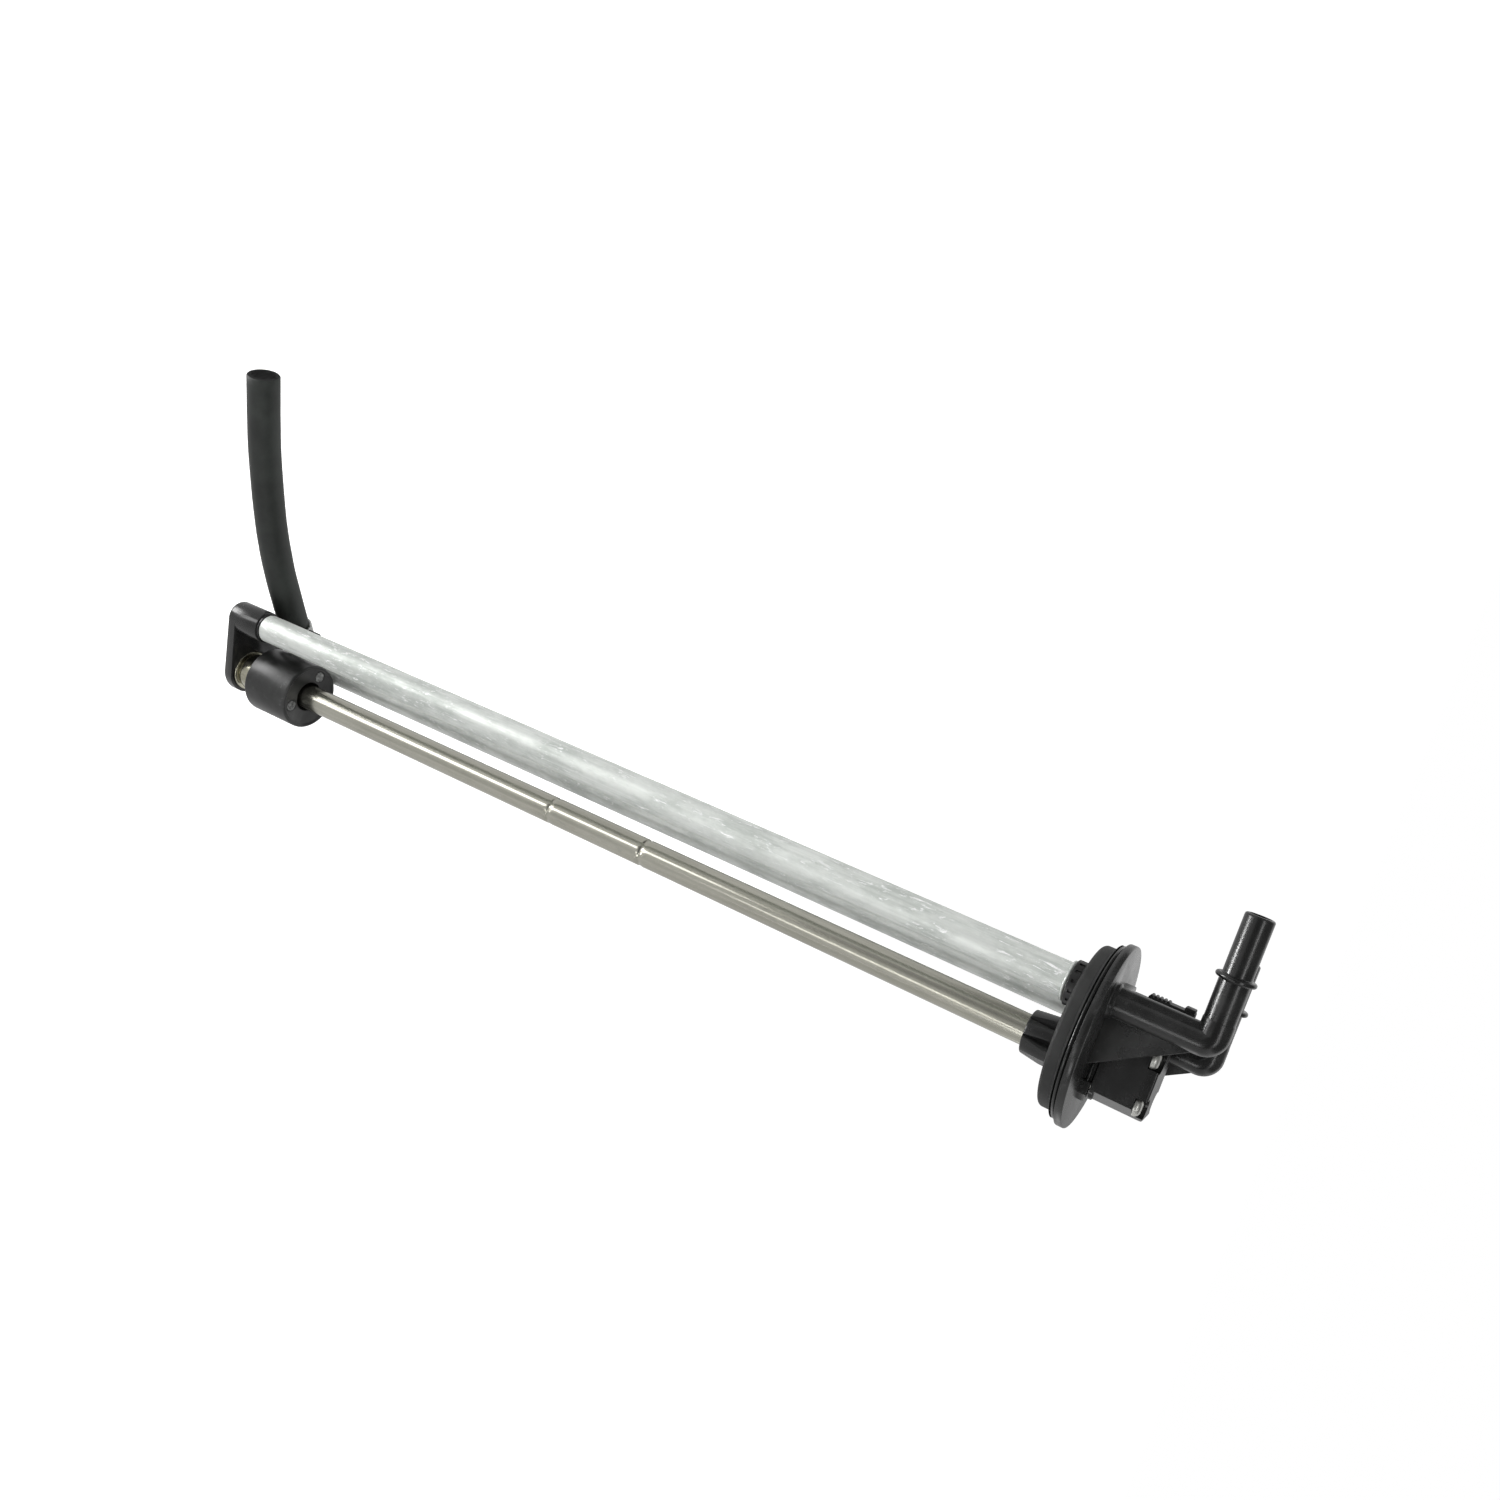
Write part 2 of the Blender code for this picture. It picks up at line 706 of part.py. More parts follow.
def coverScrew(name, place):
    low = counterboreFloor + gap
    top = low + screwHeadHeight
    profile = (
        (0, plinthTop - screwDepth),
        (0.5 * screwRadius, plinthTop - screwDepth),
        (screwRadius, plinthTop - screwDepth + screwRadius),
        (screwRadius, low),
        (screwHeadRadius, low),
        (screwHeadRadius, top - 0.5 * screwHeadHeight),
        (0.85 * screwHeadRadius, top - 0.15 * screwHeadHeight),
        (0.6 * screwHeadRadius, top),
        (0, top),
    )
    item = turned(name, profile, smallSides, at(place), closed=False)
    cut(item, rods(name + "_drive", (place,), driveRadius, top - driveDepth, top + driveDepth, 6))
    return paint(item, (0.72, 0.71, 0.69), 0.28, 1.0)


def circuitBoard():
    halfX = boardSize[0] / 2
    halfY = boardSize[1] / 2
    x, y = boardCentre
    top = boardLowZ + boardThickness
    item = block("circuit_board", (x - halfX, y - halfY, boardLowZ), (x + halfX, y + halfY, top))
    join(item, block("processor", (x - 0.45 * halfX, y - 0.3 * halfY, top - overrun),
                     (x + 0.45 * halfX, y + 0.1 * halfY, top + chipHeight)))
    join(item, block("capacitor", (x - 0.6 * halfX, y + 0.4 * halfY, top - overrun),
                     (x + 0.2 * halfX, y + 0.7 * halfY, top + 1.6 * chipHeight)))
    return paint(item, (0.02, 0.12, 0.05), 0.45)


def connectorShell():
    item = prism("connector_shell", rounded(shellLow, shellHigh, shellCorner), shellFoot, shellTop)
    middle = (shellLow[1] + shellHigh[1]) / 2
    near = middle - latchWidth / 2
    far = middle + latchWidth / 2
    side = shellHigh[0]
    join(item, block("latch_rib", (side - 0.5 * shellWall, near, latchLow), (side + latchReach, far, latchTop)))
    join(item, block("latch_nub", (side, near + latchNubInset, latchTop - latchNubHeight),
                     (side + latchReach + latchNubReach, far - latchNubInset, latchTop - latchNubDrop)))
    for index in range(gripCount):
        grip = rods(f"latch_grip_{index + 1}", ((0, 0),), gripRadius, -0.45 * latchWidth, 0.45 * latchWidth, 8)
        grip.rotation_euler.x = math.pi / 2
        grip.location = (side + latchReach, middle, latchLow + gripPitch * (index + 0.6))
        join(item, grip)
    cut(item, prism("shell_room", rounded(shellLow, shellHigh, shellCorner, shellWall),
                    shellFoot + shellFloor, latchTop + overrun))
    room = gap + pinThickness / 2
    for index, y in enumerate(pinMiddles()):
        cut(item, block(f"pin_way_{index + 1}", (pinPlugX - room, y - pinWidth / 2 - gap, shellFoot - overrun),
                        (pinPlugX + room, y + pinWidth / 2 + gap, shellFoot + shellFloor + overrun)))
    return paint(item, (0.008, 0.008, 0.008), 0.5)


def connectorPin(name, middle):
    item = sideways(name, pinOutline(0.0, boardLowZ - gap, pinTip), (middle,), pinWidth)
    return paint(item, (0.75, 0.72, 0.62), 0.25, 1.0)


# A tube with a rolled bead under its collar
def hungTube(name, radius, wall, low, axis, crimps=(), bead=True):
    inner = radius - wall
    outside = [(radius - tubeEndRound, low), (radius - 0.3 * tubeEndRound, low + 0.3 * tubeEndRound),
               (radius, low + tubeEndRound)]
    for height in crimps:
        half = crimpWidth / 2
        outside += [(radius, height - half), (radius - crimpDepth, height - half / 3),
                    (radius - crimpDepth, height + half / 3), (radius, height + half)]
    if bead:
        top = collarLow - gap
        outside += [(radius, top - beadHeight), (radius + 0.8 * beadRise, top - 0.8 * beadHeight),
                    (radius + beadRise, top - 0.5 * beadHeight), (radius + 0.8 * beadRise, top - 0.2 * beadHeight),
                    (radius, top)]
    profile = [(inner, tubeTop), (inner, low)] + outside + [(radius, tubeTop)]
    return turned(name, profile, tubeSides, at(axis))


def guideTube():
    low = lobeLow
    item = hungTube("guide_tube", guideRadius, guideWall, low, guideAxis, crimpHeights, bead=False)
    return paint(item, (0.55, 0.53, 0.47), 0.22, 1.0)


def suctionTube():
    item = hungTube("suction_tube", suctionRadius, suctionWall, suctionEnd, suctionAxis)
    return paint(item, (0.80, 0.81, 0.80), 0.32, 1.0)


# The return tube turns at its lower end, where the hose sits on it
def returnTube():
    reach = bendRadius + hoseOverlap
    item = bentRod("return_tube", returnRadius, tubeTop, bendHeight, bendRadius, reach, at(returnAxis))
    item.rotation_euler.z = hoseHeading
    top = collarLow - gap
    inside = returnRadius - 0.5 * returnWall
    profile = ((inside, top - beadHeight), (returnRadius + 0.8 * beadRise, top - 0.8 * beadHeight),
               (returnRadius + beadRise, top - 0.5 * beadHeight),
               (returnRadius + 0.8 * beadRise, top - 0.2 * beadHeight), (inside, top))
    join(item, turned("return_bead", profile, tubeSides, at(returnAxis)))
    bore = bentRod("return_tube_bore", returnRadius - returnWall, tubeTop + overrun, bendHeight, bendRadius,
                   reach + overrun, at(returnAxis))
    bore.rotation_euler.z = hoseHeading
    cut(item, bore)
    return paint(item, (0.78, 0.79, 0.79), 0.34, 1.0)


def tubeSeal(name, radius, axis):
    inner = radius - tubeSealWidth
    item = ring(name, inner, radius, tubeTop + gap, tubeTop + gap + tubeSealHeight, smallSides, at(axis))
    return paint(item, (0.012, 0.012, 0.012), 0.6)


# A toothed ring that is pushed up the tube against the head
def toothedCollar(name, radius, axis):
    outer = radius + gap + collarWall
    item = ring(name, radius + gap, outer, collarLow, collarTop, tubeSides, at(axis))
    bm = bmesh.new()
    for index in range(collarNotches):
        turn = Matrix.Rotation(math.tau * index / collarNotches, 4, "Z")
        size = Matrix.Diagonal((2 * collarNotchDepth, collarNotchWidth, collarHeight, 1.0))
        place = Matrix.Translation((outer, 0, collarLow + 0.85 * collarHeight))
        bmesh.ops.create_cube(bm, size=1.0, matrix=turn @ place @ size)
    cut(item, toObject(name + "_notches", bm, at(axis)))
    return paint(item, (0.010, 0.010, 0.010), 0.5)


# Flutes that widen and deepen towards the head are cut by cones
def guideTubeCollet():
    profile = (
        (guideRadius + gap, colletLow),
        (colletLowRadius - colletEdge, colletLow),
        (colletLowRadius, colletLow + colletEdge),
        (colletRadius, colletShoulder),
        (colletRadius, collarTop),
        (guideRadius + gap, collarTop),
    )
    item = turned("guide_tube_collet", profile, fineSides, at(guideAxis))
    bm = bmesh.new()
    top = collarTop + gap
    distance = colletRadius + colletFluteRadius - colletFluteDepth
    for index in range(colletFlutes):
        turn = Matrix.Rotation(math.tau * index / colletFlutes + colletFluteTurn, 4, "Z")
        place = Matrix.Translation((distance, 0, (top + colletLow) / 2))
        bmesh.ops.create_cone(bm, cap_ends=True, segments=smallSides, radius1=gap,
                              radius2=colletFluteRadius, depth=top - colletLow, matrix=turn @ place)
    cut(item, toObject("collet_flutes", bm, at(guideAxis)))
    return paint(item, (0.012, 0.012, 0.012), 0.35)


def guideTubePlug():
    radius = guideRadius - guideWall - gap
    profile = ((0, 0), (radius, 0), (radius, tubePlugHeight - tubePlugEdge),
               (radius - tubePlugEdge, tubePlugHeight), (0, tubePlugHeight))
    item = turned("guide_tube_plug", profile, smallSides, at(guideAxis, tubePlugLow), closed=False)
    return paint(item, (0.60, 0.58, 0.52), 0.35, 1.0)


def reedStrip():
    x, y = guideAxis
    low = tubePlugLow + tubePlugHeight + gap
    high = boardLowZ - gap
    item = block("reed_strip", (x - stripWidth / 2, y - stripThickness / 2, low),
                 (x + stripWidth / 2, y + stripThickness / 2, high))
    bm = bmesh.new()
    for index in range(reedCount):
        height = lowestReed + index * reedPitch
        place = Matrix.Translation((x, y + stripThickness / 2 + 0.6 * reedRadius, height))
        bmesh.ops.create_cone(bm, cap_ends=True, segments=6, radius1=reedRadius, radius2=reedRadius,
                              depth=reedLength, matrix=place)
    join(item, toObject("reeds", bm))
    return paint(item, (0.03, 0.16, 0.07), 0.5)


def floatBody():
    top = floatHeight
    face = top - floatRecess
    rim = floatRadius - floatRim
    profile = (
        (floatBore, 0),
        (floatRadius - floatChamfer, 0),
        (floatRadius, floatChamfer),
        (floatRadius, top - floatChamfer),
        (floatRadius - 0.3 * floatChamfer, top - 0.3 * floatChamfer),
        (floatRadius - floatChamfer, top),
        (rim, top),
        (rim - floatRecess, face),
        (floatBore + floatBoreEdge, face),
        (floatBore, face - floatBoreEdge),
    )
    item = turned("float", profile, fineSides, at(guideAxis, floatRest))
    pockets = rods("float_pockets", pocketPlaces, pocketRadius, face - pocketDepth, top + overrun)
    pockets.location = item.location
    cut(item, pockets)
    return paint(item, (0.028, 0.029, 0.028), 0.5)


def floatMagnet(name, place):
    low = floatHeight - floatRecess - pocketDepth + gap
    item = rods(name, (place,), pocketRadius - gap, low, low + magnetHeight)
    item.location = at(guideAxis, floatRest)
    return paint(item, (0.45, 0.45, 0.46), 0.4, 1.0)


def floatPotting(name, place):
    low = floatHeight - floatRecess - pocketDepth + magnetHeight + 2 * gap
    high = floatHeight - floatRecess + pottingRise
    item = rods(name, (place,), pocketRadius - gap, low, high)
    item.location = at(guideAxis, floatRest)
    return paint(item, (0.16, 0.16, 0.15), 0.6)


def stopRing():
    inner = guideRadius + gap
    edge = 0.3 * stopRim
    shoulder = stopBody - stopWaist
    profile = (
        (inner, stopLow),
        (stopLowRadius - edge, stopLow),
        (stopLowRadius, stopLow + stopRim / 2),
        (stopLowRadius - edge, stopLow + stopRim),
        (stopWaist, stopLow + 1.2 * stopRim),
        (stopWaist, stopLow + 1.7 * stopRim),
        (stopBody - 0.3 * shoulder, stopLow + 2.3 * stopRim),
        (stopBody, stopLow + 3.4 * stopRim),
        (stopBody, stopTop - 3.4 * stopRim),
        (stopBody - 0.3 * shoulder, stopTop - 2.3 * stopRim),
        (stopWaist, stopTop - 1.7 * stopRim),
        (stopWaist, stopTop - 1.2 * stopRim),
        (stopTopRadius - edge, stopTop - stopRim),
        (stopTopRadius, stopTop - stopRim / 2),
        (stopTopRadius - edge, stopTop),
        (inner, stopTop),
    )
    return paint(turned("stop_ring", profile, tubeSides, at(guideAxis)), (0.62, 0.58, 0.45), 0.25, 1.0)


# The arm is the hull of the socket's foot, the lobe and a smaller disc towards the return tube
def bracketArm():
    bm = bmesh.new()
    for axis, radius, low, high in ((suctionAxis, socketRadius, socketLow, armSocketTop),
                                    (guideAxis, lobeRadius, lobeLow, lobeTop),
                                    (armBackAxis, armBackRadius, armBackLow, armBackTop)):
        for height, inset in ((low, lobeEdge), (low + lobeEdge, 0), (high, 0)):
            for step in range(tubeSides):
                angle = math.tau * step / tubeSides
                bm.verts.new((axis[0] + (radius - inset) * math.cos(angle),
                              axis[1] + (radius - inset) * math.sin(angle), height))
    hullOf(bm)
    return toObject("bracket_arm", bm)


def bottomBracket():
    spigot = suctionRadius - suctionWall - gap
    mouth = bracketMouth
    profile = (
        (spigotBore, spigotTop),
        (spigot - spigotEdge, spigotTop),
        (spigot, spigotTop - spigotTaper),
        (spigot, mouth),
        (socketRadius - mouthEdge, mouth),
        (socketRadius, mouth - mouthEdge),
        (socketRadius, socketLow + socketEdge),
        (socketRadius - socketEdge, socketLow),
        (spigotBore, socketLow),
    )
    item = turned("bottom_bracket", profile, tubeSides, at(suctionAxis))
    join(item, bracketArm())
    cut(item, rods("inlet", (suctionAxis,), spigotBore + inletRise, socketLow - overrun, mouth, smallSides))
    cut(item, rods("ring_seat", (guideAxis,), stopLowRadius + 2 * gap, lobeTop, armSocketTop + overrun, tubeSides))
    cut(item, rods("lobe_hole", (guideAxis,), guideRadius + gap, lobeLow - overrun, lobeTop + overrun, tubeSides))
    return paint(item, (0.016, 0.016, 0.017), 0.32)


# A black ring between the suction tube's end and the bracket's mouth
def suctionEndSeal():
    inner = suctionRadius - suctionWall
    item = ring("suction_end_seal", inner, suctionRadius + gap, suctionEnd - gap - endSealHeight,
                suctionEnd - gap, tubeSides, at(suctionAxis))
    return paint(item, (0.008, 0.008, 0.008), 0.5)


def onHose(item, place):
    item.rotation_euler = (0, math.pi / 2, hoseHeading)
    item.location = Vector(at(returnAxis, bendHeight)) + place * hoseDirection()
    return item


def hoseDirection():
    return Vector((math.cos(hoseHeading), math.sin(hoseHeading), 0))


# The stretch of the hose that is pushed over the return tube
def hoseSleeve():
    item = ring("return_hose_sleeve", returnRadius + gap, hoseRadius, 0, hoseOverlap, tubeSides)
    onHose(item, bendRadius)
    return paint(item, (0.022, 0.022, 0.022), 0.6)


def hoseClamp():
    inner = hoseRadius + gap
    outer = inner + clampThickness
    item = ring("hose_clamp", inner, outer, -clampWidth / 2, clampWidth / 2, tubeSides)
    leg = outer - 0.5 * clampThickness
    top = outer + earHeight
    ear = block("clamp_ear", (-top, -earWidth / 2, -0.4 * clampWidth), (-leg, earWidth / 2, 0.4 * clampWidth))
    eye = block("ear_eye", (-top + clampThickness, -earWidth / 2 + clampThickness, -clampWidth),
                (-outer, earWidth / 2 - clampThickness, clampWidth))
    for part in (item, ear, eye):
        onHose(part, clampPlace)
    join(item, ear)
    cut(item, eye)
    return paint(item, (0.70, 0.70, 0.69), 0.28, 1.0)


# A smooth curve through the route's own points
def smoothRoute(points, count):
    ends = [2 * points[0] - points[1]] + list(points) + [2 * points[-1] - points[-2]]
    route = []
    for index in range(count):
        place = index * (len(points) - 1) / (count - 1)
        span = min(int(place), len(points) - 2)
        t = place - span
        before, start, end, after = ends[span:span + 4]
        route.append(0.5 * (2 * start + (end - before) * t
                            + (2 * before - 5 * start + 4 * end - after) * t ** 2
                            + (3 * start - 3 * end + after - before) * t ** 3))
    return route


def returnHose():
    start = Vector(at(returnAxis, bendHeight)) + (bendRadius + hoseOverlap + gap) * hoseDirection()
    route = smoothRoute([start, start + hoseOverlap * 0.6 * hoseDirection()] + hoseRoute, hosePoints)
    curve = bpy.data.curves.new("return_hose", "CURVE")
    curve.dimensions = "3D"
    curve.bevel_depth = hoseRadius
    curve.bevel_resolution = 3
    curve.use_fill_caps = True
    spline = curve.splines.new("POLY")
    spline.points.add(len(route) - 1)
    for point, place in zip(spline.points, route):
        point.co = (*place, 1.0)
    item = bpy.data.objects.new("return_hose", curve)
    bpy.context.scene.collection.objects.link(item)
    return paint(item, (0.022, 0.022, 0.022), 0.6)


emptyScene()
headFlange()
flangeGasket()
sealRing()
sensorCover()
coverGasket()
for number, corner in enumerate(screwPlaces(), 1):
    coverScrew(f"cover_screw_{number}", corner)
circuitBoard()
connectorShell()
for number, middle in enumerate(pinMiddles(), 1):
    connectorPin(f"connector_pin_{number}", middle)
guideTube()
guideTubePlug()
guideTubeCollet()
reedStrip()
tubeSeal("guide_tube_seal", guideRadius, guideAxis)
suctionTube()
toothedCollar("suction_collar", suctionRadius, suctionAxis)
tubeSeal("suction_tube_seal", suctionRadius, suctionAxis)
returnTube()
toothedCollar("return_collar", returnRadius, returnAxis)
tubeSeal("return_tube_seal", returnRadius, returnAxis)
floatBody()
for number, pocket in enumerate(pocketPlaces, 1):
    floatMagnet(f"float_magnet_{number}", pocket)
    floatPotting(f"float_potting_{number}", pocket)
stopRing()
bottomBracket()
suctionEndSeal()
hoseSleeve()
hoseClamp()
returnHose()
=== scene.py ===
import math
import bmesh
import bpy
from mathutils import Matrix, Vector, noise


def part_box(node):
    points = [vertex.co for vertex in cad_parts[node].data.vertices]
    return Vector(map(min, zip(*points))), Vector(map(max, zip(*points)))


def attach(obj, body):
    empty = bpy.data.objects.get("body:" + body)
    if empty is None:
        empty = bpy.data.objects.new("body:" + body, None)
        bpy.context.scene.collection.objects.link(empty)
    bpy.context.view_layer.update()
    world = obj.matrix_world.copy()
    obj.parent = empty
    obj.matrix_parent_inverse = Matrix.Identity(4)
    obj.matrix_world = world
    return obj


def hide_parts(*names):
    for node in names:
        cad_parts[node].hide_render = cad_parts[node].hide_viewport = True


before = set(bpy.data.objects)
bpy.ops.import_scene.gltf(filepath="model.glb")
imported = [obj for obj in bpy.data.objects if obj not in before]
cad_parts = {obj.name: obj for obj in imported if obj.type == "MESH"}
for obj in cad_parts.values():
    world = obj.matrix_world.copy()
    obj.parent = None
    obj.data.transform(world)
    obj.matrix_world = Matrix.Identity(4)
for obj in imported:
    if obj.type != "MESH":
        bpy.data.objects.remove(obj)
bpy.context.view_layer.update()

# Dresses the fuel level sender: finer moulded, drawn and turned pieces stand for the plain CAD nodes.
# Metres, +Z up out of the tank, the origin at the centre of the underside of the head's round plate.

mm = 0.001

# Points closer than tiny are one point. Pieces keep a gap. A cutter goes beyond the surface that it cuts.
tiny = 0.002 * mm
gap = 0.3 * mm
beyond = 1.0 * mm
quarter = math.pi / 2
turnX = Matrix.Rotation(quarter, 4, "X")
turnY = Matrix.Rotation(quarter, 4, "Y")
up = Vector((0, 0, 1))
senderBody = "sender"
floatBody = "float"


# A dictionary of lengths, given in millimetres and kept in metres
def inMm(**lengths):
    return {name: tuple(part * mm for part in length) if isinstance(length, tuple) else length * mm
            for name, length in lengths.items()}


def middleOf(node):
    low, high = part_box(node)
    return (low + high) / 2


def axisOf(node):
    return Vector((*middleOf(node).xy, 0))


guideAxis = axisOf("guide_tube")
suctionAxis = axisOf("suction_tube")
returnAxis = axisOf("return_tube_seal")
returnPipe = Vector((2.6 * mm, -20.9 * mm, 0))
tubeRadius = {"guide": 6.0 * mm, "suction": 6.63 * mm, "return": 5.0 * mm}

# Camera, where the photograph was taken from
photoCamera = {
    "place": Vector((0.09999, 0.49246, 0.07214)),
    "right": Vector((0.33176, -0.43915, 0.83491)),
    "up": Vector((0.93861, 0.06495, -0.33881)),
    "lens": 32.41,
    "sensor": 36.0,
    "nearest": 0.01,
}


def makeCamera(facts):
    lens = bpy.data.cameras.new("photoCamera")
    lens.lens = facts["lens"]
    lens.sensor_width = facts["sensor"]
    lens.clip_start = facts["nearest"]
    camera = bpy.data.objects.new("photoCamera", lens)
    back = facts["right"].cross(facts["up"])
    turn = Matrix((facts["right"], facts["up"], back)).transposed()
    camera.matrix_world = Matrix.Translation(facts["place"]) @ turn.to_4x4()
    bpy.context.scene.collection.objects.link(camera)
    bpy.context.scene.camera = camera


makeCamera(photoCamera)
print("camera set")


# Shader groups, each built once. They read Object coordinates and put out a colour, a roughness and a height.
def newGroup(name, colors, values):
    group = bpy.data.node_groups.new(name, "ShaderNodeTree")
    for side, kind, labels in (("INPUT", "Color", colors), ("INPUT", "Float", values),
                               ("OUTPUT", "Color", ("Color",)), ("OUTPUT", "Float", ("Roughness", "Height"))):
        for label in labels:
            group.interface.new_socket(name=label, in_out=side, socket_type="NodeSocket" + kind)
    return group, group.nodes.new("NodeGroupInput").outputs, group.nodes.new("NodeGroupOutput").inputs


def makeNode(tree, kind, links=(), **values):
    node = tree.nodes.new(kind)
    for label, value in values.items():
        setattr(node, label, value)
    for socket, source in links:
        if isinstance(source, bpy.types.NodeSocket):
            tree.links.new(source, node.inputs[socket])
        else:
            node.inputs[socket].default_value = source
    return node


def ramped(tree, source, low, high):
    return makeNode(tree, "ShaderNodeMapRange", (("Value", source), ("From Min", low), ("From Max", high)),
                    clamp=True).outputs["Result"]


def stretched(tree, vector, scale):
    return makeNode(tree, "ShaderNodeVectorMath", ((0, vector), (1, scale)), operation="MULTIPLY").outputs[0]


def noised(tree, place, scale, detail, roughness=0.5, distortion=0.0):
    return makeNode(tree, "ShaderNodeTexNoise", (
        ("Vector", place), ("Scale", scale), ("Detail", detail), ("Roughness", roughness),
        ("Distortion", distortion))).outputs["Fac"]


def maths(tree, operation, *sources, **values):
    result = sources[0]
    for source in sources[1:]:
        result = makeNode(tree, "ShaderNodeMath", ((0, result), (1, source)), operation=operation,
                          **values).outputs[0]
    return result


def times(tree, *sources):
    return maths(tree, "MULTIPLY", *sources)


def blended(tree, factor, first, second):
    node = makeNode(tree, "ShaderNodeMix", ((0, factor), (6, first), (7, second)), data_type="RGBA")
    return node.outputs[2]


# Moulded plastic and rubber: slow mottling, fine grain, pale scuffs
def mouldedGroup():
    group, given, made = newGroup("mouldedSkin", ("Color", "Pale"),
                                  ("Mottle", "Scuffs", "Roughness", "Spread", "Grain", "Size"))
    place = group.nodes.new("ShaderNodeTexCoord").outputs["Object"]
    cloud = noised(group, place, times(group, given["Size"], 70.0), detail=5.0, roughness=0.6)
    fine = noised(group, place, given["Grain"], detail=3.0)
    speck = noised(group, place, scale=420.0, detail=6.0, roughness=0.75)
    scuff = times(group, ramped(group, speck, 0.57, 0.72), ramped(group, cloud, 0.42, 0.62), given["Scuffs"])
    pale = times(group, ramped(group, cloud, 0.38, 0.68), given["Mottle"])
    share = maths(group, "ADD", pale, scuff, use_clamp=True)
    group.links.new(blended(group, share, given["Color"], given["Pale"]), made["Color"])
    shift = times(group, maths(group, "SUBTRACT", cloud, 0.5), given["Spread"], 4.0)
    rough = maths(group, "ADD", given["Roughness"], shift, times(group, scuff, 0.3))
    group.links.new(rough, made["Roughness"])
    height = maths(group, "ADD", times(group, fine, 0.5), times(group, speck, 0.5))
    group.links.new(height, made["Height"])
    return group


# Drawn metal: streaks along Z, cloudy tarnish, nicks
def drawnGroup():
    group, given, made = newGroup("drawnMetal", ("Color", "Tarnish", "Nick"),
                                  ("Cloud", "Streaks", "Nicks", "Roughness", "Spread"))
    place = group.nodes.new("ShaderNodeTexCoord").outputs["Object"]
    streak = noised(group, stretched(group, place, (700.0, 700.0, 9.0)), scale=1.0, detail=4.0, roughness=0.6)
    cloud = noised(group, stretched(group, place, (1.0, 1.0, 0.35)), scale=130.0, detail=6.0, roughness=0.65)
    nick = noised(group, stretched(group, place, (1.0, 1.0, 0.22)), scale=620.0, detail=5.0, roughness=0.8,
                  distortion=0.6)
    nicks = times(group, ramped(group, nick, 0.56, 0.64), ramped(group, cloud, 0.42, 0.56), given["Nicks"])
    dull = times(group, ramped(group, cloud, 0.40, 0.66), given["Cloud"])
    lines = times(group, ramped(group, streak, 0.40, 0.75), given["Streaks"])
    share = maths(group, "ADD", dull, lines, use_clamp=True)
    color = blended(group, share, given["Color"], given["Tarnish"])
    group.links.new(blended(group, nicks, color, given["Nick"]), made["Color"])
    rough = maths(group, "ADD", given["Roughness"], times(group, share, given["Spread"]))
    group.links.new(rough, made["Roughness"])
    height = maths(group, "SUBTRACT", times(group, streak, 0.25), times(group, nicks, 0.6))
    height = maths(group, "ADD", height, times(group, cloud, 0.5))
    group.links.new(height, made["Height"])
    return group


mouldedSkin = mouldedGroup()
drawnMetal = drawnGroup()
reliefDepth = 0.1 * mm


def finish(name, group, values, bump, metallic=0.0, specular=0.5):
    surface = bpy.data.materials.new(name)
    surface.use_nodes = True
    tree = surface.node_tree
    shader = tree.nodes["Principled BSDF"].inputs
    shader["Metallic"].default_value = metallic
    shader["Specular IOR Level"].default_value = specular
    skin = tree.nodes.new("ShaderNodeGroup")
    skin.node_tree = group
    for label, value in values.items():
        skin.inputs[label].default_value = value
    relief = makeNode(tree, "ShaderNodeBump", (
        ("Height", skin.outputs["Height"]), ("Strength", bump), ("Distance", reliefDepth)))
    tree.links.new(skin.outputs["Color"], shader["Base Color"])
    tree.links.new(skin.outputs["Roughness"], shader["Roughness"])
    tree.links.new(relief.outputs["Normal"], shader["Normal"])


def grey(value, tint=(1.0, 1.0, 1.0)):
    return (value * tint[0], value * tint[1], value * tint[2], 1.0)


def moulded(name, dark, pale, mottle, scuffs, roughness, grain=900.0, bump=0.12, size=1.0,
            tint=(1.0, 1.02, 1.0), specular=0.5):
    finish(name, mouldedSkin, {
        "Color": grey(dark, tint), "Pale": grey(pale, tint), "Mottle": mottle, "Scuffs": scuffs,
        "Roughness": roughness, "Spread": 0.06, "Grain": grain, "Size": size}, bump, specular=specular)


def drawn(name, color, tarnish, cloud, streaks, nicks, roughness, spread, bump=0.1, metallic=1.0, nick=0.3):
    finish(name, drawnMetal, {
        "Color": (*color, 1.0), "Tarnish": (*tarnish, 1.0), "Nick": grey(nick), "Cloud": cloud,
        "Streaks": streaks, "Nicks": nicks, "Roughness": roughness, "Spread": spread}, bump, metallic)


# Dark tone, pale tone, mottling, scuffs and roughness of each plastic and rubber
moulded("headPlastic", 0.007, 0.045, 0.28, 0.9, 0.27, specular=0.45)
moulded("coverPlastic", 0.007, 0.025, 0.25, 0.4, 0.27, specular=0.45)
moulded("nipplePlastic", 0.007, 0.03, 0.2, 0.4, 0.27, bump=0.003)
moulded("connectorPlastic", 0.006, 0.02, 0.3, 0.2, 0.45)
moulded("gasketRubber", 0.016, 0.045, 0.4, 0.3, 0.60, grain=1300.0, specular=0.30)
moulded("sealRubber", 0.006, 0.02, 0.2, 0.2, 0.22)
moulded("colletPlastic", 0.006, 0.03, 0.2, 0.3, 0.20)
moulded("collarPlastic", 0.006, 0.05, 0.2, 0.6, 0.35)
moulded("bracketPlastic", 0.010, 0.04, 0.25, 0.35, 0.20)
